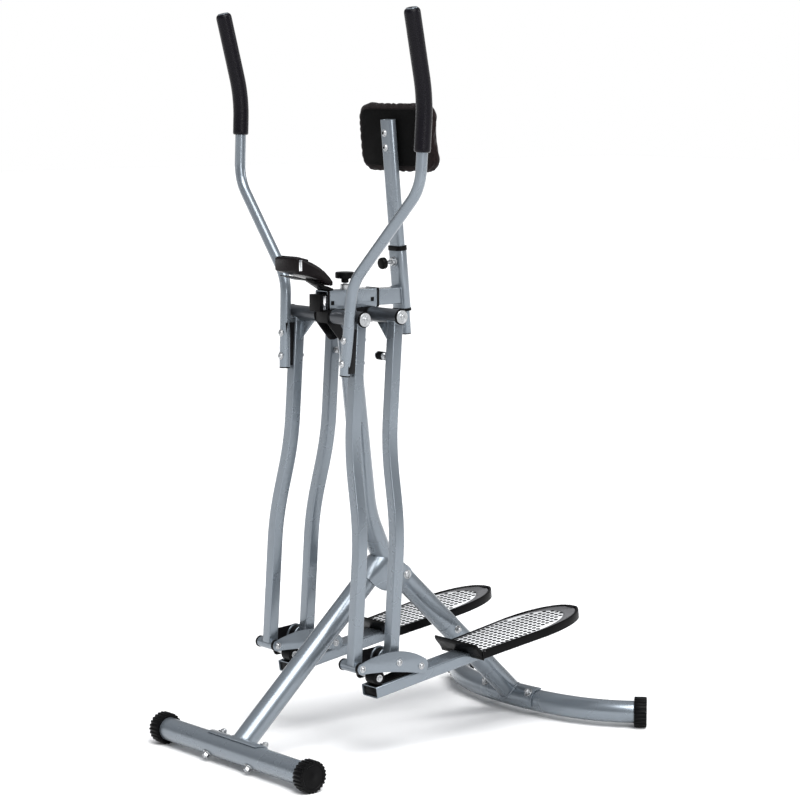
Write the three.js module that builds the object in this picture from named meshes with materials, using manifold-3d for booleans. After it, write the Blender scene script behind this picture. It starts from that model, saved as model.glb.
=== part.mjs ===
// Air-walker elliptical trainer: two free-swinging parallelogram legs hang from a tubular A-frame,
// each with a handlebar above its pivot and a pedal on a folding arm below.
// Millimetres, +Z up, origin on the floor under the middle of the footprint.
// The user stands on the pedals facing -Y, so +X is the user's left.
import * as THREE from 'three';
import { mergeVertices } from 'three/addons/utils/BufferGeometryUtils.js';
import Module from 'manifold-3d';

const wasm = await Module();
wasm.setup();

// ---------------------------------------------------------------- driving dimensions
const GAP = 0.3; // air left between neighbouring pieces
const MAIN_RADIUS = 25; // stabilizers and legs
const MAIN_WALL = 2;
const TUBE_SIDES = 16;

const CAP = { radius: 34, width: 29, ribs: 24, grooveDepth: 2, landHalfAngle: 4.2, insert: 24 };
const FRONT_STABILIZER = { y: -447, z: CAP.radius, halfLength: 271 };
const REAR_STABILIZER = { middleY: 341, tipX: 316, tipY: 458, sweepAngle: 45 };

const FRONT_LEG = { footY: -441, footZ: 34, angle: 42.7, length: 508 };
const REAR_LEG = { footY: 346, footZ: 34, angle: 43.2, length: 500 };
const SADDLE = { thickness: 4, halfAngle: 66, frontHalfLength: 86, rearHalfLength: 92 };
const SADDLE_BOLT = { radius: 4.5, headRadius: 8, headHeight: 5, frontX: 74, rearX: 72 };

const HUB = { plate: 2.7, topSlope: 15.15, topY: -79, topZ: 409, topEndY: -18 };
const HUB_BOLT = { y: 2, z: 360, radius: 5 };

const POST = { radius: 24, wall: 2, footY: -44, footZ: 398, footLean: 24.5, bendY: -91.7, bendZ: 502.7,
  lean: 6.9, topZ: 948.4, bendCut: 39 };

const PIVOT_Z = 938;
const FRONT_PIVOT_Y = -195;
const LINK_SPACING = 100; // front to rear distance between the two link pivots
const AXLE = { radius: 7.5, halfLength: 125.6, washerRadius: 14, washerEdge: 128, headRadius: 7, end: 133 };
const SLEEVE = { inner: 13.5, outer: 16, start: 26.3, end: 122 };
const BUSH = { outer: 13.1, flange: 17, innerEnd: 23.6, outerEnd: 124.9 };

const LINK = { half: 12.5, corner: 2.4, wall: 1.8, upperX: 105, lowerX: 147, length: 729.6, lean: 3.77,
  bendTop: 218, bendBottom: 508, tuck: 4 };
const LOW_SLEEVE = { outer: 11.5, inner: 6.7 };
const GUSSET = { thickness: 3, reach: 46, drop: 42 };

const HANDLE = { radius: 11.75, wall: 1.5, gripRadius: 17, leftGrip: 293, rightGrip: 268 };
const BEAM = { half: 20, wall: 2, frontY: -211, rearY: -72, bottom: 952, top: 992 };
const BEAM_KNOB_Y = -148;
const SLIDE_BEAM = { half: 17.6, wall: 2, frontY: -180 };

const PAD_TILT = 5.5;
const PAD_SLEEVE = { y: 10, z: 941, width: 46, depth: 25, wall: 2, height: 135 };
const PAD_POST = { width: 40, depth: 20, wall: 1.6, bottom: -52, top: 411 };
const PAD = { width: 240, bottom: 296, top: 445, board: 5, boardInset: 14, foam: 32, corner: 34 };

const ARM = { angle: 8.4, frontY: 44, frontZ: -71, half: 25, height: 25, wall: 2, length: 540 };
const BRACKET = { outer: 26, inner: -40, plate: 3, rearPivot: LINK_SPACING, hingeY: 161, hingeZ: -16 };
const PIN_RADIUS = 6;
const ROLLER = { y: 51, z: -28, radius: 15, start: -9, end: 21.5, lobe: 11 };
const PEDAL = { start: 263, length: 336, halfWidth: 70, deck: 5, rim: 3.2, skirt: 11, wall: 3.5, guard: 20 };

// ---------------------------------------------------------------- materials
const paint = new THREE.MeshStandardMaterial({ color: 0x9aa7b0, roughness: 0.35, metalness: 0.6 });
const blackSteel = new THREE.MeshStandardMaterial({ color: 0x1b1c1e, roughness: 0.45, metalness: 0.4 });
const plastic = new THREE.MeshStandardMaterial({ color: 0x101011, roughness: 0.5, metalness: 0 });
const zinc = new THREE.MeshStandardMaterial({ color: 0xc9ccd0, roughness: 0.3, metalness: 0.9 });
const foam = new THREE.MeshStandardMaterial({ color: 0x1f1e20, roughness: 0.9, metalness: 0 });
const cloth = new THREE.MeshStandardMaterial({ color: 0x231d1d, roughness: 0.95, metalness: 0 });
const board = new THREE.MeshStandardMaterial({ color: 0x18181a, roughness: 0.7, metalness: 0 });

// ---------------------------------------------------------------- geometry helpers
const radians = (degrees) => (degrees * Math.PI) / 180;
const point = (x, y, z) => new THREE.Vector3(x, y, z);
const X_AXIS = point(1, 0, 0);

// Shape x, y and extrusion depth turned onto the model's Y, Z and X.
const SIDE_VIEW = new THREE.Matrix4().makeBasis(point(0, 1, 0), point(0, 0, 1), point(1, 0, 0));

// A closed geometry as a solid that can be joined and cut.
function toSolid(geometry) {
  const bare = geometry.clone();
  bare.deleteAttribute('normal');
  bare.deleteAttribute('uv');
  const merged = mergeVertices(bare, 1e-3);
  const index = merged.index.array;
  const triangles = [];
  for (let i = 0; i < index.length; i += 3) {
    const [a, b, c] = [index[i], index[i + 1], index[i + 2]];
    if (a !== b && b !== c && a !== c) triangles.push(a, b, c);
  }
  return new wasm.Manifold(new wasm.Mesh({
    numProp: 3,
    vertProperties: new Float32Array(merged.attributes.position.array),
    triVerts: new Uint32Array(triangles),
  }));
}

function toGeometry(solid) {
  const mesh = solid.getMesh();
  const geometry = new THREE.BufferGeometry();
  geometry.setAttribute('position', new THREE.BufferAttribute(new Float32Array(mesh.vertProperties), 3));
  geometry.setIndex(new THREE.BufferAttribute(new Uint32Array(mesh.triVerts), 1));
  geometry.computeVertexNormals();
  return geometry;
}

const join = (first, ...others) => others.reduce((sum, next) => sum.add(next), first);
const cut = (first, ...others) => others.reduce((rest, next) => rest.subtract(next), first);

// A cylinder from one point to another.
function rod(from, to, radius, sides = TUBE_SIDES) {
  const along = to.clone().sub(from);
  const geometry = new THREE.CylinderGeometry(radius, radius, along.length(), sides);
  const turn = new THREE.Quaternion().setFromUnitVectors(point(0, 1, 0), along.clone().normalize());
  geometry.applyQuaternion(turn);
  geometry.translate(...from.clone().add(to).multiplyScalar(0.5).toArray());
  return toSolid(geometry);
}

const crossRod = (x0, x1, y, z, radius, sides = 12) => rod(point(x0, y, z), point(x1, y, z), radius, sides);

function box(x0, x1, y0, y1, z0, z1) {
  const geometry = new THREE.BoxGeometry(x1 - x0, y1 - y0, z1 - z0);
  geometry.translate((x0 + x1) / 2, (y0 + y1) / 2, (z0 + z1) / 2);
  return toSolid(geometry);
}

// A side-view (Y, Z) outline given a thickness along X.
function sidePlate(shape, x0, x1, curveSegments = 6) {
  const geometry = new THREE.ExtrudeGeometry(shape, { depth: x1 - x0, bevelEnabled: false, curveSegments });
  geometry.applyMatrix4(SIDE_VIEW);
  geometry.translate(x0, 0, 0);
  return toSolid(geometry);
}

function upright(shape, z0, z1, curveSegments = 5) {
  const geometry = new THREE.ExtrudeGeometry(shape, { depth: z1 - z0, bevelEnabled: false, curveSegments });
  geometry.translate(0, 0, z0);
  return toSolid(geometry);
}

function sweep(shape, path, steps) {
  return toSolid(new THREE.ExtrudeGeometry(shape, { steps, extrudePath: path, bevelEnabled: false }));
}

// A body turned about an axis through a point; the profile lists [distance along it, radius].
function turned(profile, at, along, sides = 12) {
  const points = profile.map(([distance, radius]) => new THREE.Vector2(radius, distance));
  points.unshift(new THREE.Vector2(0, profile[0][0]));
  points.push(new THREE.Vector2(0, profile.at(-1)[0]));
  const geometry = new THREE.LatheGeometry(points, sides);
  geometry.applyQuaternion(new THREE.Quaternion().setFromUnitVectors(point(0, 1, 0), along));
  geometry.translate(at.x, at.y, at.z);
  return toSolid(geometry);
}

function circlePoints(radius, sides) {
  const step = (2 * Math.PI) / sides;
  return Array.from({ length: sides }, (_, i) => new THREE.Vector2(
    radius * Math.cos((i + 0.5) * step), radius * Math.sin((i + 0.5) * step)));
}

function roundTube(radius, wall, sides = TUBE_SIDES, innerSides = 8) {
  const shape = new THREE.Shape(circlePoints(radius, sides));
  shape.holes.push(new THREE.Path(circlePoints(radius - wall, innerSides)));
  return shape;
}

function squareTube(half, corner, wall) {
  const near = half - corner;
  const shape = new THREE.Shape();
  [[near, half], [-near, half], [-half, near], [-half, -near], [-near, -half], [near, -half], [half, -near],
    [half, near]].forEach(([x, y], i) => (i ? shape.lineTo(x, y) : shape.moveTo(x, y)));
  const inner = half - wall;
  shape.holes.push(new THREE.Path([[inner, inner], [inner, -inner], [-inner, -inner], [-inner, inner]]
    .map(([x, y]) => new THREE.Vector2(x, y))));
  return shape;
}

// A flat oval: straight sides with half-round ends, wider along the shape's x.
function flatOval(width, depth) {
  const radius = depth / 2;
  const reach = width / 2 - radius;
  const shape = new THREE.Shape();
  shape.moveTo(-reach, -radius);
  shape.absarc(reach, 0, radius, -Math.PI / 2, Math.PI / 2);
  shape.absarc(-reach, 0, radius, Math.PI / 2, (3 * Math.PI) / 2);
  return shape;
}

function flatOvalTube(width, depth, wall) {
  const shape = flatOval(width, depth);
  shape.holes.push(new THREE.Path(flatOval(width - 2 * wall, depth - 2 * wall).getPoints(6)));
  return shape;
}

function outline(points) {
  return new THREE.Shape(points.map(([x, y]) => new THREE.Vector2(x, y)));
}

// Straight runs joined by smooth bends; reach is how far each bend starts before its corner.
function bentPath(corners, reaches) {
  const path = new THREE.CurvePath();
  let start = corners[0];
  for (let i = 1; i < corners.length - 1; i += 1) {
    const back = corners[i - 1].clone().sub(corners[i]).setLength(reaches[i - 1]).add(corners[i]);
    const ahead = corners[i + 1].clone().sub(corners[i]).setLength(reaches[i - 1]).add(corners[i]);
    path.add(new THREE.LineCurve3(start, back));
    path.add(new THREE.QuadraticBezierCurve3(back, corners[i], ahead));
    start = ahead;
  }
  path.add(new THREE.LineCurve3(start, corners.at(-1)));
  return path;
}

// The last stretch of a path, as a curve of its own.
class PathEnd extends THREE.Curve {
  constructor(path, length) {
    super();
    this.path = path;
    this.start = 1 - length / path.getLength();
  }

  getPoint(t, target = new THREE.Vector3()) {
    return target.copy(this.path.getPointAt(this.start + (1 - this.start) * t));
  }
}

const model = new THREE.Group();

function addPart(name, shape, material, parent = model) {
  const mesh = new THREE.Mesh(toGeometry(shape), material);
  mesh.name = name;
  parent.add(mesh);
}

function frameAt(x, y, z, tilt, parent = model) {
  const group = new THREE.Group();
  group.position.set(x, y, z);
  group.rotation.x = radians(tilt);
  parent.add(group);
  return group;
}

// ---------------------------------------------------------------- stabilizers, end caps and legs
const frontLegUp = point(0, Math.cos(radians(FRONT_LEG.angle)), Math.sin(radians(FRONT_LEG.angle)));
const rearLegUp = point(0, -Math.cos(radians(REAR_LEG.angle)), Math.sin(radians(REAR_LEG.angle)));
const frontLegAt = (along) => point(0, FRONT_LEG.footY, FRONT_LEG.footZ).addScaledVector(frontLegUp, along);
const rearLegAt = (along) => point(0, REAR_LEG.footY, REAR_LEG.footZ).addScaledVector(rearLegUp, along);

const tip = point(REAR_STABILIZER.tipX, REAR_STABILIZER.tipY, CAP.radius);
const tipDirection = point(Math.cos(radians(REAR_STABILIZER.sweepAngle)),
  Math.sin(radians(REAR_STABILIZER.sweepAngle)), 0);

// Centre line of the rear stabilizer: bowed forward in the middle, straight where the caps go on.
function rearCentreLine() {
  const along = (side, short) => {
    const p = tip.clone().addScaledVector(tipDirection, -short);
    return point(side * p.x, p.y, p.z);
  };
  const middle = point(0, REAR_STABILIZER.middleY, CAP.radius);
  const half = (side) => [middle, point(side * 140, middle.y, middle.z), along(side, 120), along(side, 38)];
  const path = new THREE.CurvePath();
  path.add(new THREE.LineCurve3(along(-1, 6), along(-1, 38)));
  path.add(new THREE.CubicBezierCurve3(...half(-1).reverse()));
  path.add(new THREE.CubicBezierCurve3(...half(1)));
  path.add(new THREE.LineCurve3(along(1, 38), along(1, 6)));
  return path;
}

// A ribbed end cap in its own frame: the tube comes in from -X and a rib's flat land faces -Z.
function ribbedCap() {
  const pitch = 360 / CAP.ribs;
  const crest = CAP.radius / Math.cos(radians(CAP.landHalfAngle));
  const points = [];
  for (let rib = 0; rib < CAP.ribs; rib += 1) {
    for (const [offset, radius] of [[-CAP.landHalfAngle, crest], [CAP.landHalfAngle, crest],
      [pitch / 2, CAP.radius - CAP.grooveDepth]]) {
      const angle = radians(-90 + rib * pitch + offset);
      points.push([radius * Math.cos(angle), radius * Math.sin(angle)]);
    }
  }
  const body = sidePlate(outline(points), -CAP.width, 0);
  return cut(body, crossRod(-CAP.width - 1, -CAP.width + CAP.insert, 0, 0, MAIN_RADIUS + 0.8, 16));
}

// The part of a ring around a tube that faces along a direction in the YZ plane.
function saddleArc(centreY, centreZ, direction, halfLength) {
  const facing = Math.atan2(direction.z, direction.y);
  const half = radians(SADDLE.halfAngle);
  const inner = MAIN_RADIUS + 0.4;
  const outer = inner + SADDLE.thickness;
  const shape = new THREE.Shape();
  shape.absarc(centreY, centreZ, outer, facing - half, facing + half, false);
  shape.absarc(centreY, centreZ, inner, facing + half, facing - half, true);
  return sidePlate(shape, -halfLength, halfLength, 8);
}

// A bolt through a stabilizer and its saddle: hexagon head below, domed nut on top.
function saddleBolt(centre, direction) {
  const { radius, headRadius, headHeight } = SADDLE_BOLT;
  const low = -MAIN_RADIUS - 2 * GAP;
  const high = MAIN_RADIUS + 0.4 + SADDLE.thickness + GAP;
  return turned([[low - headHeight, headRadius], [low, headRadius], [low, radius], [high, radius],
    [high, headRadius], [high + 4, headRadius], [high + 8, headRadius * 0.6]], centre, direction, 8);
}

const boltHole = (centre, direction) => rod(centre.clone().addScaledVector(direction, -60),
  centre.clone().addScaledVector(direction, 60), SADDLE_BOLT.radius + 0.9, 8);

const hollowRod = (from, to, radius, wall) => {
  const reach = to.clone().sub(from).normalize().multiplyScalar(5);
  return cut(rod(from, to, radius), rod(from.clone().sub(reach), to.clone().add(reach), radius - wall, 8));
};

function buildFrontBase() {
  const axisStart = point(-FRONT_STABILIZER.halfLength + 6, FRONT_STABILIZER.y, FRONT_STABILIZER.z);
  const axisEnd = point(-axisStart.x, axisStart.y, axisStart.z);
  const boltCentres = [-1, 1].map((side) => point(side * SADDLE_BOLT.frontX, axisStart.y, axisStart.z));
  const holes = boltCentres.map((centre) => boltHole(centre, frontLegUp));

  addPart('front_stabilizer', cut(hollowRod(axisStart, axisEnd, MAIN_RADIUS, MAIN_WALL), ...holes), paint);
  const cap = ribbedCap().translate([FRONT_STABILIZER.halfLength, FRONT_STABILIZER.y, CAP.radius]);
  addPart('left_front_cap', cap, plastic);
  const mirroredCap = ribbedCap().rotate([0, 0, 180])
    .translate([-FRONT_STABILIZER.halfLength, FRONT_STABILIZER.y, CAP.radius]);
  addPart('right_front_cap', mirroredCap, plastic);

  const saddle = saddleArc(axisStart.y, axisStart.z, frontLegUp, SADDLE.frontHalfLength);
  const leg = hollowRod(frontLegAt(10), frontLegAt(FRONT_LEG.length), MAIN_RADIUS, MAIN_WALL);
  const around = rod(axisStart, axisEnd, MAIN_RADIUS + 0.4);
  addPart('front_leg', cut(join(leg, saddle), around, ...holes), paint);
  addPart('left_front_bolt', saddleBolt(boltCentres[1], frontLegUp), zinc);
  addPart('right_front_bolt', saddleBolt(boltCentres[0], frontLegUp), zinc);
}

function buildRearBase() {
  const steps = 16;
  const tube = sweep(roundTube(MAIN_RADIUS, MAIN_WALL), rearCentreLine(), steps);
  const line = rearCentreLine();
  let t = 0.5;
  while (line.getPointAt(t).x < SADDLE_BOLT.rearX) t += 0.002;
  const near = line.getPointAt(t);
  const boltCentres = [-1, 1].map((side) => point(side * near.x, near.y, near.z));
  const holes = boltCentres.map((centre) => boltHole(centre, rearLegUp));
  addPart('rear_stabilizer', cut(tube, ...holes), paint);

  for (const [name, side] of [['left_rear_cap', 1], ['right_rear_cap', -1]]) {
    const heading = side > 0 ? REAR_STABILIZER.sweepAngle : 180 - REAR_STABILIZER.sweepAngle;
    addPart(name, ribbedCap().rotate([0, 0, heading]).translate([side * tip.x, tip.y, tip.z]), plastic);
  }

  // The saddle follows the bowed tube: a thicker sweep, kept only where it faces the leg.
  const middle = point(0, REAR_STABILIZER.middleY, CAP.radius);
  const around = sweep(new THREE.Shape(circlePoints(MAIN_RADIUS + 0.5, TUBE_SIDES)), rearCentreLine(), steps);
  const thick = sweep(new THREE.Shape(circlePoints(MAIN_RADIUS + 0.5 + SADDLE.thickness, TUBE_SIDES)),
    rearCentreLine(), steps);
  const facing = toSolid(new THREE.BoxGeometry(2 * SADDLE.rearHalfLength, 80, 60)
    .translate(0, 0, 30 + MAIN_RADIUS * Math.cos(radians(SADDLE.halfAngle)))
    .rotateX(radians(90 - REAR_LEG.angle)).translate(0, middle.y + 3, middle.z));
  const leg = hollowRod(rearLegAt(10), rearLegAt(REAR_LEG.length), MAIN_RADIUS, MAIN_WALL);
  const hubBoltHole = crossRod(-40, 40, HUB_BOLT.y, HUB_BOLT.z, HUB_BOLT.radius + 0.6, 12);
  addPart('rear_leg', cut(join(leg, thick.intersect(facing)), around, hubBoltHole, ...holes), paint);
  addPart('left_rear_bolt', saddleBolt(boltCentres[1], rearLegUp), zinc);
  addPart('right_rear_bolt', saddleBolt(boltCentres[0], rearLegUp), zinc);
}

// ---------------------------------------------------------------- hub, post and pivot bracket
const hubTopZ = (y) => HUB.topZ - Math.tan(radians(HUB.topSlope)) * (y - HUB.topY);

function postPath(below) {
  const footSlope = Math.tan(radians(POST.footLean));
  const slope = Math.tan(radians(POST.lean));
  const foot = point(0, POST.footY + footSlope * below, POST.footZ - below);
  const bend = point(0, POST.bendY, POST.bendZ);
  const top = point(0, POST.bendY - slope * (POST.topZ + 20 - POST.bendZ), POST.topZ + 20);
  return bentPath([foot, bend, top], [POST.bendCut]);
}

// Folded bracket: its rounded fold wraps the front leg and its side plates hold the rear leg's bolt.
function buildHub() {
  const outer = MAIN_RADIUS + GAP + HUB.plate;
  const inner = MAIN_RADIUS + GAP;
  const depth = 110;
  const fold = new THREE.Shape();
  fold.moveTo(outer, -depth);
  fold.lineTo(outer, 0);
  fold.absarc(0, 0, outer, 0, Math.PI, false);
  fold.lineTo(-outer, -depth);
  fold.lineTo(-inner, -depth);
  fold.lineTo(-inner, 0);
  fold.absarc(0, 0, inner, Math.PI, 0, true);
  fold.lineTo(inner, -depth);
  const along = new THREE.LineCurve3(frontLegAt(380), frontLegAt(640));
  const folded = sweep(fold, along, 1);
  const plateOutline = outline([[-91, 347], [-131.7, 391.1], [-110, hubTopZ(-110)],
    [HUB.topEndY, hubTopZ(HUB.topEndY)], [8, 380], [20, 372], [22, 358], [9, 347], [-10, 338], [-56, 330],
    [-70, 334]]);
  const topPlate = outline([[-112, hubTopZ(-112)], [HUB.topEndY, hubTopZ(HUB.topEndY)],
    [HUB.topEndY, hubTopZ(HUB.topEndY) - 3], [-112, hubTopZ(-112) - 3]]);
  const closed = join(folded, sidePlate(topPlate, -outer, outer)).intersect(sidePlate(plateOutline, -60, 60));
  const boltHole = crossRod(-40, 40, HUB_BOLT.y, HUB_BOLT.z, HUB_BOLT.radius + 0.6, 12);
  addPart('hub_bracket', cut(closed, boltHole), paint);
  addPart('hub_bolt', turned([[-outer - 6, 8], [-outer - GAP, 8], [-outer - GAP, HUB_BOLT.radius],
    [outer + GAP, HUB_BOLT.radius], [outer + GAP, 9], [outer + 2, 9], [outer + 2, 7], [outer + 6, 6]],
  point(0, HUB_BOLT.y, HUB_BOLT.z), X_AXIS, 12), zinc);
}

function buildPost() {
  const tube = sweep(roundTube(POST.radius, POST.wall), postPath(40), 9);
  const slope = radians(HUB.topSlope);
  const under = toSolid(new THREE.BoxGeometry(80, 200, 100).translate(0, 0, -50 + GAP)
    .rotateX(-slope).translate(0, HUB.topY, HUB.topZ));
  const above = box(-40, 40, -200, -80, POST.topZ, POST.topZ + 60);
  addPart('upright_post', cut(tube, under, above), paint);
}

function buildPivotBracket() {
  const top = BEAM.bottom - GAP;
  const bracket = sidePlate(outline([[-211, top], [-211, 925], [-176, 884], [-160, 884], [-112, 920],
    [-78, 926], [-78, top]]), -BEAM.half, BEAM.half);
  const inside = sidePlate(outline([[-208, top - 3], [-208, 927], [-176, 889], [-160, 860], [-60, 860],
    [-60, top - 3]]), -BEAM.half + 3, BEAM.half - 3);
  const post = sweep(new THREE.Shape(circlePoints(POST.radius + 0.8, TUBE_SIDES)), postPath(40), 9);
  const postHead = post.intersect(box(-40, 40, -220, -60, 800, POST.topZ + GAP / 2));
  const axleHoles = [0, LINK_SPACING].map((offset) => crossRod(-40, 40, FRONT_PIVOT_Y + offset, PIVOT_Z,
    AXLE.radius + 0.5));
  addPart('pivot_bracket', cut(bracket, inside, postHead, ...axleHoles), blackSteel);
  const { radius, halfLength, washerRadius, washerEdge, headRadius, end } = AXLE;
  const axle = [[-end, headRadius], [-washerEdge, headRadius], [-washerEdge, washerRadius],
    [-halfLength, washerRadius], [-halfLength, radius], [halfLength, radius], [halfLength, washerRadius],
    [washerEdge, washerRadius], [washerEdge, headRadius], [end, headRadius]];
  addPart('front_axle', turned(axle, point(0, FRONT_PIVOT_Y, PIVOT_Z), X_AXIS), zinc);
  addPart('rear_axle', turned(axle, point(0, FRONT_PIVOT_Y + LINK_SPACING, PIVOT_Z), X_AXIS), zinc);
}

// ---------------------------------------------------------------- beam, console and pad
// A pull knob: cap, stem and a short pin that ends just above the sliding tube.
const pullKnob = (capRadius, reach) => [[1, 4], [reach - 14, 4], [reach - 14, capRadius],
  [reach - 2, capRadius], [reach, capRadius - 2]];

function buildBeam() {
  const tube = cut(box(-BEAM.half, BEAM.half, BEAM.frontY, BEAM.rearY, BEAM.bottom, BEAM.top),
    box(-BEAM.half + 2, BEAM.half - 2, BEAM.frontY - 1, BEAM.rearY + 1, BEAM.bottom + 2, BEAM.top - 2));
  const boss = rod(point(0, BEAM_KNOB_Y, BEAM.top - 1), point(0, BEAM_KNOB_Y, BEAM.top + 11), 10, 16);
  const bore = rod(point(0, BEAM_KNOB_Y, BEAM.top - 4), point(0, BEAM_KNOB_Y, BEAM.top + 12), 5, 12);
  addPart('main_beam', cut(join(tube, boss), bore), paint);
  addPart('beam_pull_knob', turned(pullKnob(21, 40), point(0, BEAM_KNOB_Y, BEAM.top - 3), point(0, 0, 1)),
    plastic);
  addPart('sensor_housing', box(-18.5, 18.5, BEAM.frontY - 19, BEAM.frontY - GAP, 949, 985), plastic);
}

function buildConsole() {
  const bowRear = [-228, 1040];
  const bowFront = [-256, 1056];
  const slope = Math.atan2(bowFront[1] - bowRear[1], bowRear[0] - bowFront[0]);
  const faceUp = point(0, Math.sin(slope), Math.cos(slope));
  const button = point(0, bowRear[0], bowRear[1]).lerp(point(0, bowFront[0], bowFront[1]), 0.5);
  const side = outline([[-306, 1036], [-240, 1018], [-212, 1004], [-203, 1006], [-204, 1016], bowRear, bowFront,
    [-302, 1068], [-305, 1066]]);
  const pocket = rod(button.clone().addScaledVector(faceUp, -6), button.clone().addScaledVector(faceUp, 5), 7);
  addPart('console_case', cut(sidePlate(side, -38.5, 38.5), pocket), plastic);
  addPart('console_button', turned([[-4, 6.4], [1.6, 6.4], [2.2, 5.6]], button, faceUp), plastic);
  const foot = BEAM.top + GAP;
  addPart('console_mount', sidePlate(outline([[-209, foot], [-190, foot], [-190, foot + 4],
    [-206, 1002], [-213, 1003.8], [-236, 1015.4], [-244, 1018.6], [-244, 1013]]), -14, 14), plastic);
}

function buildPadSlide() {
  const sleeveFrame = frameAt(0, PAD_SLEEVE.y, PAD_SLEEVE.z, PAD_TILT);
  const knobHeight = 106;
  const boss = rod(point(0, -PAD_SLEEVE.depth / 2 + 1, knobHeight),
    point(0, -PAD_SLEEVE.depth / 2 - 9, knobHeight), 9, 16);
  const bore = rod(point(0, -8, knobHeight), point(0, -PAD_SLEEVE.depth / 2 - 12, knobHeight), 5, 12);
  const sleeve = upright(flatOvalTube(PAD_SLEEVE.width, PAD_SLEEVE.depth, PAD_SLEEVE.wall), 0,
    PAD_SLEEVE.height);
  const opening = upright(flatOval(PAD_SLEEVE.width - 4, PAD_SLEEVE.depth - 4), -1, PAD_SLEEVE.height + 1);
  addPart('pad_sleeve', cut(join(sleeve, boss), opening, bore), paint, sleeveFrame);
  addPart('sleeve_pull_knob', turned(pullKnob(15, 41),
    point(0, GAP + 1 - PAD_SLEEVE.depth / 2 + PAD_SLEEVE.wall, knobHeight), point(0, -1, 0)), plastic, sleeveFrame);

  const { half, wall, frontY } = SLIDE_BEAM;
  const middle = (BEAM.bottom + BEAM.top) / 2;
  const tube = cut(box(-half, half, frontY, 20, middle - half, middle + half),
    box(-half + wall, half - wall, frontY - 1, 21, middle - half + wall, middle + half - wall));
  const behind = toSolid(new THREE.BoxGeometry(80, 80, 200)
    .translate(0, 40 - PAD_SLEEVE.depth / 2 - GAP, 50).rotateX(radians(PAD_TILT))
    .translate(0, PAD_SLEEVE.y, PAD_SLEEVE.z));
  addPart('slide_beam', cut(tube, behind), paint);

  addPart('pad_post', upright(flatOvalTube(PAD_POST.width, PAD_POST.depth, PAD_POST.wall), PAD_POST.bottom,
    PAD_POST.top, 6), paint, sleeveFrame);
  const face = PAD_POST.depth / 2 + GAP;
  const panel = (halfWidth, bottom, top, corner) => {
    const shape = new THREE.Shape();
    const [x, low, high] = [halfWidth - corner, bottom + corner, top - corner];
    shape.absarc(x, high, corner, 0, Math.PI / 2);
    shape.absarc(-x, high, corner, Math.PI / 2, Math.PI);
    shape.absarc(-x, low, corner, Math.PI, 1.5 * Math.PI);
    shape.absarc(x, low, corner, 1.5 * Math.PI, 2 * Math.PI);
    return shape;
  };
  const slab = (shape, y0, y1) => upright(shape, 0, y1 - y0, 5).rotate([90, 0, 0]).translate([0, y1, 0]);
  addPart('pad_board', slab(panel(PAD.width / 2 - PAD.boardInset, PAD.bottom + PAD.boardInset,
    PAD.top - PAD.boardInset, PAD.corner - PAD.boardInset), face, face + PAD.board), board, sleeveFrame);
  addPart('chest_pad', slab(panel(PAD.width / 2, PAD.bottom, PAD.top, PAD.corner), face + PAD.board + GAP,
    face + PAD.board + GAP + PAD.foam), cloth, sleeveFrame);
}

// ---------------------------------------------------------------- swinging links
function linkPath(side) {
  const [top, bottom] = [side * LINK.upperX, side * LINK.lowerX];
  const pull = 0.42 * (LINK.bendBottom - LINK.bendTop);
  const path = new THREE.CurvePath();
  path.add(new THREE.LineCurve3(point(top, 0, -LINK.tuck), point(top, 0, -LINK.bendTop)));
  path.add(new THREE.CubicBezierCurve3(point(top, 0, -LINK.bendTop), point(top, 0, -LINK.bendTop - pull),
    point(bottom, 0, -LINK.bendBottom + pull), point(bottom, 0, -LINK.bendBottom)));
  path.add(new THREE.LineCurve3(point(bottom, 0, -LINK.bendBottom), point(bottom, 0, LINK.tuck - LINK.length)));
  return path;
}

// One link with its top sleeve, gusset and bottom sleeve welded on, in the frame of its top pivot.
function linkBody(side, lowSleeveStart, lowSleeveEnd) {
  const tube = sweep(squareTube(LINK.half, LINK.corner, LINK.wall), linkPath(side), 12);
  const topSleeve = crossRod(side * SLEEVE.start, side * SLEEVE.end, 0, 0, SLEEVE.outer, 14);
  const inner = side * (LINK.upperX - LINK.half + 1);
  const gusset = new THREE.Shape([new THREE.Vector2(inner, -SLEEVE.outer + 2),
    new THREE.Vector2(inner - side * GUSSET.reach, -SLEEVE.outer + 2),
    new THREE.Vector2(inner, -SLEEVE.outer - GUSSET.drop)]);
  const gussetPlate = upright(gusset, -GUSSET.thickness / 2, GUSSET.thickness / 2).rotate([90, 0, 0]);
  const x = side * LINK.lowerX;
  const lowSleeve = crossRod(x + lowSleeveStart, x + lowSleeveEnd, 0, -LINK.length, LOW_SLEEVE.outer);
  const drainHole = rod(point(x, 0, 22 - LINK.length), point(x, 20, 22 - LINK.length), 2.5, 8);
  return cut(join(tube, topSleeve, gussetPlate, lowSleeve), drainHole,
    crossRod(side * (SLEEVE.start - 1), side * (SLEEVE.end + 1), 0, 0, SLEEVE.inner, 14),
    crossRod(x + lowSleeveStart - 1, x + lowSleeveEnd + 1, 0, -LINK.length, LOW_SLEEVE.inner));
}

// Plastic liner pressed into a top sleeve, with a flange at each end.
function bushBody(side) {
  const { outer, flange, innerEnd, outerEnd } = BUSH;
  const profile = [[innerEnd, flange], [SLEEVE.start - GAP, flange], [SLEEVE.start - GAP, outer],
    [SLEEVE.end + GAP, outer], [SLEEVE.end + GAP, flange], [outerEnd, flange]];
  return cut(turned(profile, point(0, 0, 0), point(side, 0, 0)),
    crossRod(side * (innerEnd - 1), side * (outerEnd + 1), 0, 0, AXLE.radius + 0.4));
}

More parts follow.
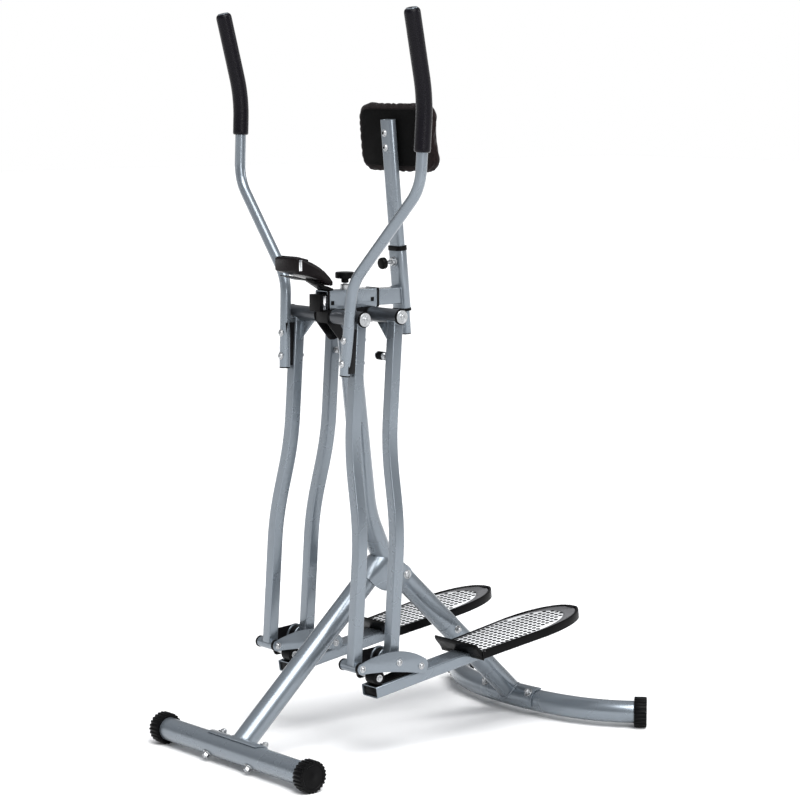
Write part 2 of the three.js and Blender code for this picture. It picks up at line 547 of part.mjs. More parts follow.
function buildHandle(label, side) {
  const corners = [[104, -231, 822], [114, -219, 1013], [308, -198, 1217], [312, -189, 1396], [320, -231, 1578]]
    .map(([x, y, z]) => point(side * x, y, z));
  const path = bentPath(corners, [38, 38, 45]);
  addPart(`${label}_handlebar`, sweep(roundTube(HANDLE.radius, HANDLE.wall, 10, 6), path, 20), paint);
  const grip = sweep(roundTube(HANDLE.gripRadius, HANDLE.gripRadius - HANDLE.radius - 1, 12, 10),
    new PathEnd(path, side > 0 ? HANDLE.leftGrip : HANDLE.rightGrip), 8);
  addPart(`${label}_hand_grip`, grip, foam);

  // Half-channel between the handlebar's foot and the front link.
  const linkFront = toSolid(new THREE.BoxGeometry(60, 60, 400).translate(side * LINK.upperX, 30 - LINK.half - GAP, 0)
    .rotateX(radians(-LINK.lean)).translate(0, FRONT_PIVOT_Y, PIVOT_Z));
  const block = box(side * 107 - 10, side * 107 + 10, -232, -200, 826, 918);
  const foot = rod(corners[0].clone().lerp(corners[1], -0.1), corners[1], HANDLE.radius + 0.6, 10);
  addPart(`${label}_handle_saddle`, cut(block, linkFront, foot), blackSteel);
}

// ---------------------------------------------------------------- pedal bracket, arm and pedal
function outerPlateOutline() {
  const shape = new THREE.Shape();
  const nose = 12;
  const lobe = 19;
  const start = radians(-70);
  const end = radians(50);
  shape.absarc(0, 0, nose, radians(100), radians(285), false);
  shape.quadraticCurveTo(80, -13, BRACKET.hingeY + lobe * Math.cos(start), BRACKET.hingeZ + lobe * Math.sin(start));
  shape.absarc(BRACKET.hingeY, BRACKET.hingeZ, lobe, start, end, false);
  shape.quadraticCurveTo(100, 45, nose * Math.cos(radians(100)), nose * Math.sin(radians(100)));
  return shape;
}

// The inner plate ties the rear pivot, the arm hinge and the stop roller together.
function innerPlateOutline() {
  const shape = new THREE.Shape();
  shape.absarc(BRACKET.rearPivot, 0, 25, radians(40), radians(110), false);
  shape.absarc(ROLLER.y - 14, 14, 6, radians(90), radians(180), false);
  shape.absarc(ROLLER.y, ROLLER.z, ROLLER.lobe, radians(190), radians(275), false);
  shape.absarc(BRACKET.hingeY, BRACKET.hingeZ, 14, radians(-95), radians(40), false);
  return shape;
}

function pedalOutline(inset) {
  const half = PEDAL.halfWidth - inset;
  const length = PEDAL.length - inset;
  const shape = new THREE.Shape();
  shape.moveTo(half - 6, inset);
  shape.quadraticCurveTo(half, inset, half, inset + 8);
  shape.lineTo(half, 190);
  shape.bezierCurveTo(half, 262, half - 22, length, 0, length);
  shape.bezierCurveTo(-half + 22, length, -half, 262, -half, 190);
  shape.lineTo(-half, inset + 8);
  shape.quadraticCurveTo(-half, inset, -half + 6, inset);
  return shape;
}

function buildPedalArm(label, bracketFrame) {
  const armFrame = frameAt(0, ARM.frontY, ARM.frontZ, ARM.angle, bracketFrame);
  const turn = radians(-ARM.angle);
  const hinge = point(0, BRACKET.hingeY - ARM.frontY, BRACKET.hingeZ - ARM.frontZ).applyAxisAngle(X_AXIS, turn);
  const { half, height, wall, length } = ARM;
  const tube = cut(box(-half, half, 0, length, 0, height),
    box(-half + wall, half - wall, -1, length + 1, wall, height - wall));
  const lug = join(box(-half + 4, half - 4, hinge.y - 11, hinge.y + 11, height - 1, hinge.z),
    crossRod(BRACKET.inner + GAP, BRACKET.outer - GAP, hinge.y, hinge.z, 11));
  addPart(`${label}_pedal_arm`, cut(join(tube, lug), crossRod(-60, 60, hinge.y, hinge.z, 5.6)), paint, armFrame);

  const deckBottom = height + GAP;
  const deckTop = deckBottom + PEDAL.deck;
  const skirtBottom = deckBottom - PEDAL.skirt;
  const tray = upright(pedalOutline(0), skirtBottom, deckTop + PEDAL.rim, 6);
  const under = upright(pedalOutline(PEDAL.wall), skirtBottom - 1, deckBottom, 6);
  const over = upright(pedalOutline(PEDAL.wall), deckTop, deckTop + PEDAL.rim + 1, 6);
  const rim = deckTop + PEDAL.rim;
  const guard = sidePlate(outline([[0, skirtBottom], [PEDAL.wall, skirtBottom], [PEDAL.wall, rim], [-9, rim + 13],
    [-13, rim + PEDAL.guard], [-17, rim + PEDAL.guard], [-17, rim + 12], [-4, rim - 8]]), -PEDAL.halfWidth + 2,
  PEDAL.halfWidth - 2);
  const notch = box(-half - 2, half + 2, -25, 20, 0, deckBottom);
  addPart(`${label}_pedal`, cut(join(cut(tray, under, over), guard), notch).translate([0, PEDAL.start, 0]),
    plastic, armFrame);
}

function buildBracket(label, side) {
  const bracketFrame = frameAt(side * LINK.lowerX, FRONT_PIVOT_Y - LINK.length * Math.sin(radians(LINK.lean)),
    PIVOT_Z - LINK.length * Math.cos(radians(LINK.lean)), 0);
  const { outer, inner, plate, rearPivot, hingeY, hingeZ } = BRACKET;
  const holes = [[0, 0], [rearPivot, 0], [hingeY, hingeZ]]
    .map(([y, z]) => crossRod(-60, 60, y, z, PIN_RADIUS + 0.5));
  addPart(`${label}_bracket_outer_plate`, cut(sidePlate(outerPlateOutline(), outer, outer + plate), ...holes),
    paint, bracketFrame);
  const innerPlate = sidePlate(innerPlateOutline(), inner - plate, inner, 6);
  addPart(`${label}_bracket_inner_plate`, cut(innerPlate, ...holes), blackSteel, bracketFrame);

  const headStart = outer + plate + GAP;
  const head = [[headStart, PIN_RADIUS], [headStart, 8], [headStart + 3, 8], [headStart + 5, 5]];
  const pin = (y, z, start, foot) => turned([...foot, [start, PIN_RADIUS], ...head], point(0, y, z), X_AXIS);
  addPart(`${label}_front_pin`, pin(0, 0, -37, [[-40.5, 10.5], [-37, 10.5]]), zinc, bracketFrame);
  const back = inner - plate - GAP;
  addPart(`${label}_rear_pin`, pin(rearPivot, 0, back, [[back - 14, 14], [back, 14]]), zinc, bracketFrame);
  const hingePin = [[back - 5, 8], [back, 8], [back, 5], [headStart, 5], [headStart, 8], [headStart + 3, 8],
    [headStart + 5, 5]];
  addPart(`${label}_hinge_pin`, turned(hingePin, point(0, hingeY, hingeZ), X_AXIS), zinc, bracketFrame);
  const { radius, start, end } = ROLLER;
  addPart(`${label}_stop_roller`, turned([[inner + GAP, 5], [start, 5], [start, radius - 1.5], [start + 1.5, radius], [end - 1.5, radius],
    [end, radius - 1.5], [end, 8], [end + 1.5, 8], [end + 1.5, 5], [end + 4, 5]],
  point(0, ROLLER.y, ROLLER.z), X_AXIS), plastic, bracketFrame);
  buildPedalArm(label, bracketFrame);
}

function buildSide(label, side) {
  const frontFrame = frameAt(0, FRONT_PIVOT_Y, PIVOT_Z, -LINK.lean);
  const rearFrame = frameAt(0, FRONT_PIVOT_Y + LINK_SPACING, PIVOT_Z, -LINK.lean);
  addPart(`${label}_front_link`, linkBody(side, -36, BRACKET.outer - GAP), paint, frontFrame);
  addPart(`${label}_front_bush`, bushBody(side), plastic, frontFrame);
  addPart(`${label}_rear_link`, linkBody(side, BRACKET.inner + GAP, BRACKET.outer - GAP), paint, rearFrame);
  addPart(`${label}_rear_bush`, bushBody(side), plastic, rearFrame);
  buildHandle(label, side);
  buildBracket(label, side);
}

buildFrontBase();
buildRearBase();
buildHub();
buildPost();
buildPivotBracket();
buildBeam();
buildConsole();
buildPadSlide();
buildSide('left', 1);
buildSide('right', -1);

export default model;
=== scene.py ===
import math

import bmesh
import bpy
from mathutils import Matrix, Vector, noise


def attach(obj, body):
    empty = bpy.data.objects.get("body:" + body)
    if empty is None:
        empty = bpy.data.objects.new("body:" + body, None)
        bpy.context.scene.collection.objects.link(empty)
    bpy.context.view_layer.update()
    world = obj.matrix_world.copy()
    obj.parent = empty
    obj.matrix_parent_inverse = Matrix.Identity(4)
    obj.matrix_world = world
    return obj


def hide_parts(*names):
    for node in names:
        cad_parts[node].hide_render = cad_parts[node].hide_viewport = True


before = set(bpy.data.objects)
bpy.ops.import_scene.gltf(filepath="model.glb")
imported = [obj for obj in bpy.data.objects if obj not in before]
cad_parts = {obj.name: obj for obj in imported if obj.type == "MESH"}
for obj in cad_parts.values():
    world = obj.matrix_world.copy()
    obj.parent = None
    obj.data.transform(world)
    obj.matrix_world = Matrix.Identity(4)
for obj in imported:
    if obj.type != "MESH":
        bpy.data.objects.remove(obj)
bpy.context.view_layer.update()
scene = bpy.context.scene

# Shapes are built in millimetres, in the CAD frame: +Z up, the user faces -Y, +X is the user's left.
MM = 0.001
X, Y, Z = Vector((1, 0, 0)), Vector((0, 1, 0)), Vector((0, 0, 1))
TAU = 2 * math.pi


def rad(degrees):
    return math.radians(degrees)


# ---------------------------------------------------------------- camera, light and floor
def add_camera():
    data = bpy.data.cameras.new("camera")
    data.lens = 116.1
    data.sensor_width = 36
    data.clip_end = 200
    camera = bpy.data.objects.new("camera", data)
    camera.location = (4.297, -3.558, 1.439)
    camera.rotation_euler = (rad(90 - 7.12), 0, rad(50.34))
    scene.collection.objects.link(camera)
    scene.camera = camera


def add_world():
    world = bpy.data.worlds.new("studio")
    scene.world = world
    world.use_nodes = True
    nodes, links = world.node_tree.nodes, world.node_tree.links
    background = nodes["Background"]
    coords = nodes.new("ShaderNodeTexCoord")
    split = nodes.new("ShaderNodeSeparateXYZ")
    ramp = nodes.new("ShaderNodeValToRGB")
    ramp.color_ramp.elements[0].position = 0.05
    ramp.color_ramp.elements[0].color = (1.0, 1.0, 1.0, 1)
    ramp.color_ramp.elements[1].position = 0.18
    ramp.color_ramp.elements[1].color = (0.20, 0.205, 0.215, 1)
    overhead = ramp.color_ramp.elements.new(0.9)
    overhead.color = (0.62, 0.63, 0.65, 1)
    links.new(coords.outputs["Generated"], split.inputs[0])
    links.new(split.outputs["Z"], ramp.inputs["Fac"])
    links.new(ramp.outputs["Color"], background.inputs["Color"])
    background.inputs["Strength"].default_value = 1.0


def add_softbox(name, location, size, power, target=(0, 0, 0.8)):
    data = bpy.data.lights.new(name, "AREA")
    data.shape = "RECTANGLE"
    data.size, data.size_y = size
    data.energy = power
    light = bpy.data.objects.new(name, data)
    light.location = location
    light.rotation_euler = (Vector(target) - Vector(location)).to_track_quat("-Z", "Y").to_euler()
    scene.collection.objects.link(light)


def add_sun(name, direction, strength, angle):
    data = bpy.data.lights.new(name, "SUN")
    data.energy = strength
    data.angle = rad(angle)
    light = bpy.data.objects.new(name, data)
    light.rotation_euler = Vector(direction).to_track_quat("-Z", "Y").to_euler()
    scene.collection.objects.link(light)


# ---------------------------------------------------------------- materials
def look(name, color, roughness, metallic=0.0, specular=0.5, coat=0.0, sheen=0.0,
         tint=(40, 0.1), gloss=(60, 0.05), bumps=()):
    """A Principled material; tint and gloss are (scale, amount) of noise, bumps are (kind, scale, height in m)."""
    material = bpy.data.materials.new(name)
    material.use_nodes = True
    nodes, links = material.node_tree.nodes, material.node_tree.links
    shader = nodes["Principled BSDF"]
    shader.inputs["Metallic"].default_value = metallic
    shader.inputs["Specular IOR Level"].default_value = specular
    shader.inputs["Coat Weight"].default_value = coat
    shader.inputs["Coat Roughness"].default_value = 0.12
    shader.inputs["Sheen Weight"].default_value = sheen
    shader.inputs["Sheen Roughness"].default_value = 0.45
    coords = nodes.new("ShaderNodeTexCoord")

    def texture(kind, scale):
        node = nodes.new("ShaderNodeTexVoronoi" if kind == "cells" else "ShaderNodeTexNoise")
        node.inputs["Scale"].default_value = scale
        if kind != "cells":
            node.inputs["Detail"].default_value = 4
        links.new(coords.outputs["Object"], node.inputs["Vector"])
        return node.outputs["Distance" if kind == "cells" else "Fac"]

    def remap(source, low, high):
        node = nodes.new("ShaderNodeMapRange")
        node.inputs["From Min"].default_value = 0.3
        node.inputs["From Max"].default_value = 0.7
        node.inputs["To Min"].default_value = low
        node.inputs["To Max"].default_value = high
        links.new(source, node.inputs["Value"])
        return node.outputs["Result"]

    mix = nodes.new("ShaderNodeMix")
    mix.data_type = "RGBA"
    links.new(remap(texture("noise", tint[0]), 0, 1), mix.inputs["Factor"])
    colors = [socket for socket in mix.inputs if socket.type == "RGBA"]
    colors[0].default_value = [c * (1 - tint[1]) for c in color] + [1]
    colors[1].default_value = [min(1, c * (1 + tint[1])) for c in color] + [1]
    links.new([socket for socket in mix.outputs if socket.type == "RGBA"][0], shader.inputs["Base Color"])
    links.new(remap(texture("noise", gloss[0]), roughness - gloss[1], roughness + gloss[1]),
              shader.inputs["Roughness"])
    normal = None
    for kind, scale, height in bumps:
        bump = nodes.new("ShaderNodeBump")
        bump.inputs["Distance"].default_value = height
        if kind == "weave":
            waves = []
            for direction in ("X", "Z"):
                wave = nodes.new("ShaderNodeTexWave")
                wave.bands_direction = direction
                wave.inputs["Scale"].default_value = scale
                wave.inputs["Distortion"].default_value = 0.6
                links.new(coords.outputs["Object"], wave.inputs["Vector"])
                waves.append(wave.outputs["Fac"])
            top = nodes.new("ShaderNodeMath")
            top.operation = "MULTIPLY"
            links.new(waves[0], top.inputs[0])
            links.new(waves[1], top.inputs[1])
            links.new(top.outputs[0], bump.inputs["Height"])
        else:
            links.new(texture(kind, scale), bump.inputs["Height"])
        if normal is not None:
            links.new(normal, bump.inputs["Normal"])
        normal = bump.outputs["Normal"]
    if normal is not None:
        links.new(normal, shader.inputs["Normal"])
    return material


PAINT = look("silver_paint", (0.186, 0.214, 0.243), 0.28, metallic=0.66, coat=0.35, tint=(2600, 0.10), gloss=(9, 0.05),
             bumps=[("noise", 900, 0.00001), ("noise", 2600, 0.00001)])
# Black paint; on the pivot bracket and the inner bracket plates the black also stands in for the shade they sit in, as
# painted shade.
BLACK_PAINT_AND_SHADE = look("black_paint", (0.004, 0.004, 0.0046), 0.32, specular=0.12, coat=0.03, tint=(30, 0.25), gloss=(14, 0.07),
                   bumps=[("noise", 260, 0.00005)])
PLASTIC = look("black_plastic", (0.0025, 0.0025, 0.0028), 0.34, specular=0.07, tint=(25, 0.3), gloss=(20, 0.08),
               bumps=[("noise", 900, 0.00005)])
CONSOLE = look("console_plastic", (0.005, 0.0035, 0.004), 0.28, specular=0.10, tint=(25, 0.3), gloss=(20, 0.06),
               bumps=[("noise", 1300, 0.00005)])
# A darker grey with the silver paint's coat and noise, used for the top sleeves.
SLATE = look("dark_sleeve_grey", (0.045, 0.05, 0.058), 0.33, metallic=0.5, coat=0.2, tint=(2600, 0.10), gloss=(9, 0.05),
             bumps=[("noise", 220, 0.00004)])
RUBBER = look("black_rubber", (0.0025, 0.0025, 0.0025), 0.55, specular=0.07, tint=(60, 0.3), gloss=(30, 0.08),
              bumps=[("noise", 700, 0.0001)])
FOAM = look("grip_foam", (0.003, 0.0025, 0.0045), 0.26, specular=0.13, tint=(300, 0.35), gloss=(60, 0.08),
            bumps=[("cells", 900, 0.00016), ("noise", 1500, 0.0001)])
FABRIC = look("pad_cloth", (0.007, 0.0035, 0.0035), 0.75, specular=0.10, sheen=0.10, tint=(90, 0.35), gloss=(50, 0.06),
              bumps=[("weave", 230, 0.0002), ("noise", 60, 0.0006)])
BACKING = look("pad_backing_board", (0.002, 0.002, 0.002), 0.65, specular=0.05, tint=(50, 0.3), gloss=(20, 0.06),
               bumps=[("noise", 800, 0.00012)])
ZINC = look("zinc_plate", (0.44, 0.45, 0.46), 0.32, metallic=1.0, tint=(300, 0.08), gloss=(150, 0.08),
            bumps=[("noise", 600, 0.00003)])
# Near-white chrome used only as a painted highlight: strips on the console's front corners and bands on the sensor
# box's sides.
HIGHLIGHT_CHROME = look("chrome_highlight_strip", (0.85, 0.86, 0.88), 0.1, metallic=1.0, tint=(80, 0.03), gloss=(60, 0.03))
TREAD = look("tread_sheet", (0.74, 0.75, 0.76), 0.4, specular=0.4, tint=(70, 0.06), gloss=(40, 0.08),
             bumps=[("noise", 1100, 0.00006)])
# Mid grey for black plastic: painted sheen, the reflection seen on the pedal's rear tip and its ridge.
PAINTED_SHEEN_GREY = look("pedal_tip_sheen", (0.115, 0.115, 0.12), 0.30, specular=0.4, tint=(60, 0.12), gloss=(20, 0.06),
           bumps=[("noise", 900, 0.00005)])
KEY = look("console_key_plastic", (0.30, 0.31, 0.33), 0.32, tint=(60, 0.1), gloss=(30, 0.05),
           bumps=[("noise", 900, 0.00003)])
GLASS = look("display_window", (0.015, 0.018, 0.018), 0.12, specular=0.6, tint=(12, 0.2), gloss=(9, 0.04))


# ---------------------------------------------------------------- shapes
class Shape:
    """Points in millimetres and faces; two shapes add up to one with both."""

    def __init__(self, points=(), faces=()):
        self.points = [Vector(p) for p in points]
        self.faces = [tuple(f) for f in faces]

    def __add__(self, other):
        shift = len(self.points)
        return Shape(self.points + other.points, self.faces + [tuple(i + shift for i in f) for f in other.faces])

    def at(self, matrix):
        return Shape([matrix @ p for p in self.points], self.faces)


def skin(rings, loop=False, caps=True):
    """Joins rings of points, all of one length or single points, by faces."""
    points, starts = [], []
    for ring in rings:
        starts.append(len(points))
        points += ring
    pairs = [(k, k + 1) for k in range(len(rings) - 1)] + ([(len(rings) - 1, 0)] if loop else [])
    faces = []
    for a, b in pairs:
        n = max(len(rings[a]), len(rings[b]))
        for i in range(n):
            j = (i + 1) % n
            corners = [starts[k] + (m if len(rings[k]) > 1 else 0) for k, m in ((a, i), (a, j), (b, j), (b, i))]
            corners = list(dict.fromkeys(corners))
            if len(corners) > 2:
                faces.append(corners)
    if caps and not loop:
        for k in (0, len(rings) - 1):
            if len(rings[k]) > 1:
                faces.append(range(starts[k], starts[k] + len(rings[k])))
    return Shape(points, faces)


def circle(radius, sides=48):
    return [(radius * math.cos(TAU * i / sides), radius * math.sin(TAU * i / sides)) for i in range(sides)]


def arc(cx, cy, radius, start, end, steps=12):
    return [(cx + radius * math.cos(rad(start + (end - start) * i / steps)),
             cy + radius * math.sin(rad(start + (end - start) * i / steps))) for i in range(steps + 1)]


def curve(a, control, b, steps=12):
    return [((1 - t) ** 2 * a[0] + 2 * t * (1 - t) * control[0] + t * t * b[0],
             (1 - t) ** 2 * a[1] + 2 * t * (1 - t) * control[1] + t * t * b[1])
            for t in (i / steps for i in range(1, steps))]


def rounded_rect(width, height, radius, steps=6):
    x, y = width / 2 - radius, height / 2 - radius
    return (arc(x, y, radius, 0, 90, steps) + arc(-x, y, radius, 90, 180, steps)
            + arc(-x, -y, radius, 180, 270, steps) + arc(x, -y, radius, 270, 360, steps))


def flat_oval(width, depth, steps=16):
    reach = (width - depth) / 2
    return arc(reach, 0, depth / 2, -90, 90, steps) + arc(-reach, 0, depth / 2, 90, 270, steps)


def sweep(section, path, up=None, loop=False, sizes=None):
    """A section (x to the side, y up) carried along a path of points."""
    path = [Vector(p) for p in path]
    rings, side = [], None
    for i, p in enumerate(path):
        before = path[i - 1] if i or loop else p
        after = path[(i + 1) % len(path)] if i < len(path) - 1 or loop else p
        along = (after - before).normalized()
        if up is not None:
            side = along.cross(up).normalized()
        elif side is None:
            side = along.orthogonal().normalized()
        else:
            side = (side - along * side.dot(along)).normalized()
        rise = side.cross(along)
        size = sizes[i] if sizes else 1
        rings.append([p + (side * x + rise * y) * size for x, y in section])
    return skin(rings, loop)


def aim(origin, direction):
    return Matrix.Translation(Vector(origin)) @ Vector(direction).to_track_quat("Z", "Y").to_matrix().to_4x4()


def lathe(profile, origin, direction, sides=40):
    """A turned body; the profile lists (distance along the axis, radius)."""
    rings = [[Vector((0, 0, d))] if r == 0 else [Vector((x, y, d)) for x, y in circle(r, sides)] for d, r in profile]
    return skin(rings).at(aim(origin, direction))


def prism(outline, low, high):
    return skin([[Vector((x, y, z)) for x, y in outline] for z in (low, high)])


SIDE_VIEW = Matrix(((0, 0, 1, 0), (1, 0, 0, 0), (0, 1, 0, 0), (0, 0, 0, 1)))
FRONT_VIEW = Matrix(((1, 0, 0, 0), (0, 0, 1, 0), (0, 1, 0, 0), (0, 0, 0, 1)))


def side_plate(outline, x0, x1):
    """A (Y, Z) outline given a thickness along X."""
    return prism(outline, x0, x1).at(SIDE_VIEW)


def front_plate(outline, y0, y1):
    """An (X, Z) outline given a thickness along Y."""
    return prism(outline, y0, y1).at(FRONT_VIEW)


def block(x0, x1, y0, y1, z0, z1):
    return prism([(x0, y0), (x1, y0), (x1, y1), (x0, y1)], z0, z1)


def bent(corners, reaches, steps=14):
    """Straight runs joined by smooth bends; reach is how far a bend starts before its corner."""
    corners = [Vector(c) for c in corners]
    path = [corners[0]]
    for i in range(1, len(corners) - 1):
        reach = reaches[i - 1]
        back = corners[i] + (corners[i - 1] - corners[i]).normalized() * reach
        ahead = corners[i] + (corners[i + 1] - corners[i]).normalized() * reach
        for k in range(steps + 1):
            t = k / steps
            path.append((1 - t) ** 2 * back + 2 * t * (1 - t) * corners[i] + t * t * ahead)
    return path + [corners[-1]]


def cubic(a, b, c, d, steps):
    a, b, c, d = map(Vector, (a, b, c, d))
    return [(1 - t) ** 3 * a + 3 * t * (1 - t) ** 2 * b + 3 * t * t * (1 - t) * c + t ** 3 * d
            for t in (k / steps for k in range(steps + 1))]


def last_stretch(path, length, spacing=6):
    """Even points along the last length of a path."""
    lengths = [0]
    for a, b in zip(path, path[1:]):
        lengths.append(lengths[-1] + (b - a).length)
    count = round(length / spacing)
    points, k = [], 0
    for i in range(count + 1):
        want = lengths[-1] - length + length * i / count
        while k < len(path) - 2 and lengths[k + 1] < want:
            k += 1
        points.append(path[k].lerp(path[k + 1], (want - lengths[k]) / (lengths[k + 1] - lengths[k])))
    return points


def bare_object(name, shape):
    mesh = bpy.data.meshes.new(name)
    mesh.from_pydata([p * MM for p in shape.points], [], shape.faces)
    work = bmesh.new()
    work.from_mesh(mesh)
    bmesh.ops.remove_doubles(work, verts=work.verts, dist=1e-6)
    bmesh.ops.recalc_face_normals(work, faces=work.faces)
    work.to_mesh(mesh)
    work.free()
    obj = bpy.data.objects.new(name, mesh)
    scene.collection.objects.link(obj)
    return obj


def bake(obj):
    """Applies the object's modifiers to its mesh."""
    graph = bpy.context.evaluated_depsgraph_get()
    mesh = bpy.data.meshes.new_from_object(obj.evaluated_get(graph))
    obj.modifiers.clear()
    obj.data = mesh


def carve(obj, shape, operation="DIFFERENCE"):
    cutter = bare_object("cutter", shape)
    modifier = obj.modifiers.new("carve", "BOOLEAN")
    modifier.object = cutter
    modifier.operation = operation
    modifier.solver = "EXACT"
    bake(obj)
    bpy.data.objects.remove(cutter)


def soften(obj, bevel, angle, segments):
    mesh = obj.data
    if bevel:
        work = bmesh.new()
        work.from_mesh(mesh)
        edges = [e for e in work.edges if e.is_manifold and e.calc_face_angle(0) > rad(angle)]
        bmesh.ops.bevel(work, geom=edges, offset=bevel * MM, offset_type="OFFSET", segments=segments, profile=0.5,
                        affect="EDGES", clamp_overlap=True)
        work.to_mesh(mesh)
        work.free()
    for polygon in mesh.polygons:
        polygon.use_smooth = True
    mesh.set_sharp_from_angle(angle=rad(38))


def dress(obj, material, slot, body, stands_for=()):
    obj.data.materials.clear()
    obj.data.materials.append(material)
    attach(obj, body)
    if stands_for:
        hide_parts(*stands_for)
    return obj


def add(name, shape, finish, body, stands_for=(), bevel=0.0, angle=35, segments=2, cuts=(), keep=None):
    """Makes a piece of the object; finish is (material, slot), and the slot is not used."""
    obj = bare_object(name, shape)
    if keep is not None:
        carve(obj, keep, "INTERSECT")
    for cut in cuts:
        carve(obj, cut)
    soften(obj, bevel, angle, segments)
    return dress(obj, *finish, body, stands_for)


SILVER = (PAINT, "frame_paint")
BLACK_AND_SHADE = (BLACK_PAINT_AND_SHADE, "black_paint")
MOULDED = (PLASTIC, "black_plastic")
PLATED = (ZINC, "zinc_steel")
RUBBERY = (RUBBER, "rubber")
DARK = (SLATE, "black_paint")


def bead(path, loop=True, radius=1.9):
    """A weld bead with its small even ripples."""
    sizes = [1 + 0.16 * math.sin(2.1 * k) for k in range(len(path))]
    return sweep(circle(radius, 10), path, loop=loop, sizes=sizes)


def nut(origin, direction, across=11.0, washer=1.3, domed=True):
    """A washer with a hexagon nut, domed or flat with the bolt's end showing, standing on a surface."""
    place = aim(origin, direction)
    radius = across / 2 / math.cos(rad(30))
    hexagon = [(radius * math.cos(rad(60 * i + 12)), radius * math.sin(rad(60 * i + 12))) for i in range(6)]
    small = [(0.9 * x, 0.9 * y) for x, y in hexagon]
    height = across * (0.42 if domed else 0.62)
    ring = [Vector((0, 0, 0)), across * 0.82]
    shape = lathe([(0, 0), (0, ring[1]), (washer * 0.7, ring[1]), (washer, ring[1] - 0.5), (washer, 0)],
                  (0, 0, 0), Z, 32)
    shape += skin([[Vector((x, y, washer)) for x, y in hexagon], [Vector((x, y, washer + height)) for x, y in hexagon],
                   [Vector((x, y, washer + height + 0.6)) for x, y in small]])
    base = washer + height
    if domed:
        r = across * 0.42
        shape += lathe([(base, r)] + [(base + 0.6 + r * 0.85 * math.sin(rad(a)), r * math.cos(rad(a)))
                                      for a in (0, 20, 40, 60, 78)] + [(base + 0.6 + r * 0.85, 0)], (0, 0, 0), Z, 24)
    else:
        r = across * 0.28
        shape += lathe([(base - 1, r), (base + 1.8, r), (base + 2.4, r - 0.7), (base + 2.4, 0)], (0, 0, 0), Z, 20)
    return shape.at(place)


def bolt_head(origin, direction, across=11.0):
    """A washer and a round button head with its hexagon socket."""
    r = across * 0.62
    head = lathe([(0, 0), (0, r + 2), (1.0, r + 2), (1.3, r + 1.6), (1.3, r), (2.6, r * 0.97), (4.0, r * 0.8),
                  (4.8, r * 0.52), (4.8, r * 0.36), (2.8, r * 0.34), (2.8, 0)], (0, 0, 0), Z, 32)
    return head.at(aim(origin, direction))


add_camera()
add_world()
add_softbox("key_light", (5.8, -2.2, 3.4), (1.4, 3.2), 140)
add_softbox("side_light", (-3.4, -5.4, 3.0), (0.9, 3.2), 12)
add_softbox("back_light", (2.6, 5.2, 3.6), (2.4, 2.0), 60)
add_sun("sky_light", (-0.55, 0.18, -1), 3.2, 44)
scene.view_settings.view_transform = "Standard"


def add_floor():
    floor = bare_object("floor", block(-30000, 30000, -30000, 30000, -20, -0.4))
    floor.data.materials.append(look("floor_paper", (0.95, 0.95, 0.95), 0.8, specular=0.1, tint=(3, 0.01),
                                     gloss=(5, 0.03)))


add_floor()


# ---------------------------------------------------------------- base: stabilizers, caps, legs
MAIN_RADIUS = 25
CAP = {"radius": 34, "width": 29, "ribs": 24, "groove": 2.4}
FRONT_Y, FRONT_HALF = -447, 271
REAR_Y, TIP, SWEEP = 341, Vector((316, 458, 34)), 45
FRONT_FOOT = Vector((0, -441, 34))
REAR_FOOT = Vector((0, 346, 34))
FRONT_UP = Vector((0, math.cos(rad(42.7)), math.sin(rad(42.7))))
REAR_UP = Vector((0, -math.cos(rad(43.2)), math.sin(rad(43.2))))
FRONT_LEG, REAR_LEG = 508, 500
SADDLE_RADIUS, SADDLE_THICK, SADDLE_HALF_ANGLE = 25.4, 4, 66


def rear_centre_line(side, steps=28):
    """Half of the rear stabilizer's centre line, from the middle out to one tip."""
    out = Vector((math.cos(rad(SWEEP)), math.sin(rad(SWEEP)), 0))
    far, near, end = TIP - out * 38, TIP - out * 120, TIP - out * 6
    path = cubic((0, REAR_Y, 34), (140, REAR_Y, 34), near, far, steps) + [end]
    return [Vector((side * p.x, p.y, p.z)) for p in path]


def ribbed_cap(matrix):
    """A ribbed cap whose tube comes in from -X."""
    pitch = 360 / CAP["ribs"]
    samples = 8 * CAP["ribs"]

    def ring(x, shrink):
        points = []
        for i in range(samples):
            angle = 360 * i / samples - 90
            off = abs((angle + 90 + pitch / 2) % pitch - pitch / 2)
            depth = CAP["groove"] * min(1, max(0, (off - 3.2) / 2.2))
            r = CAP["radius"] - min(shrink, 40) - depth
            points.append(Vector((x, r * math.cos(rad(angle)), r * math.sin(rad(angle)))))
        return points

    def plain(x, r):
        return [Vector((x, r * math.cos(rad(360 * i / samples - 90)), r * math.sin(rad(360 * i / samples - 90))))
                for i in range(samples)]

    w = CAP["width"]
    rings = [[Vector((-5, 0, 0))], plain(-5, 25.2), plain(-w, 25.2), plain(-w, 27.5), ring(1.4 - w, 0.5),
             ring(2.4 - w, 0), ring(-2.2, 0), ring(-0.9, 0.6), ring(-0.2, 1.8), plain(0, 28.5), plain(0, 26),
             plain(-1.8, 24.6), plain(-1.8, 6), plain(-1.2, 4.5), [Vector((-1.2, 0, 0))]]
    return skin(rings).at(matrix)


def saddle_weld(foot, middle, up):
    """The bead round a leg's end where it meets its saddle plate."""
    across = X.cross(up)
    offset = foot - middle
    reach = SADDLE_RADIUS + SADDLE_THICK
    points = []
    for k in range(72):
        a = TAU * k / 72
        r = MAIN_RADIUS + 0.4
        aside = offset.dot(across) + r * math.sin(a)
        lift = math.sqrt(max(4, reach * reach - aside * aside)) - offset.dot(up)
        points.append(foot + X * r * math.cos(a) + across * r * math.sin(a) + up * lift)
    return bead(points)


def saddle_section(facing):
    low, high = facing - SADDLE_HALF_ANGLE, facing + SADDLE_HALF_ANGLE
    return (arc(0, 0, SADDLE_RADIUS + SADDLE_THICK, low, high, 32) + arc(0, 0, SADDLE_RADIUS, high, low, 32))


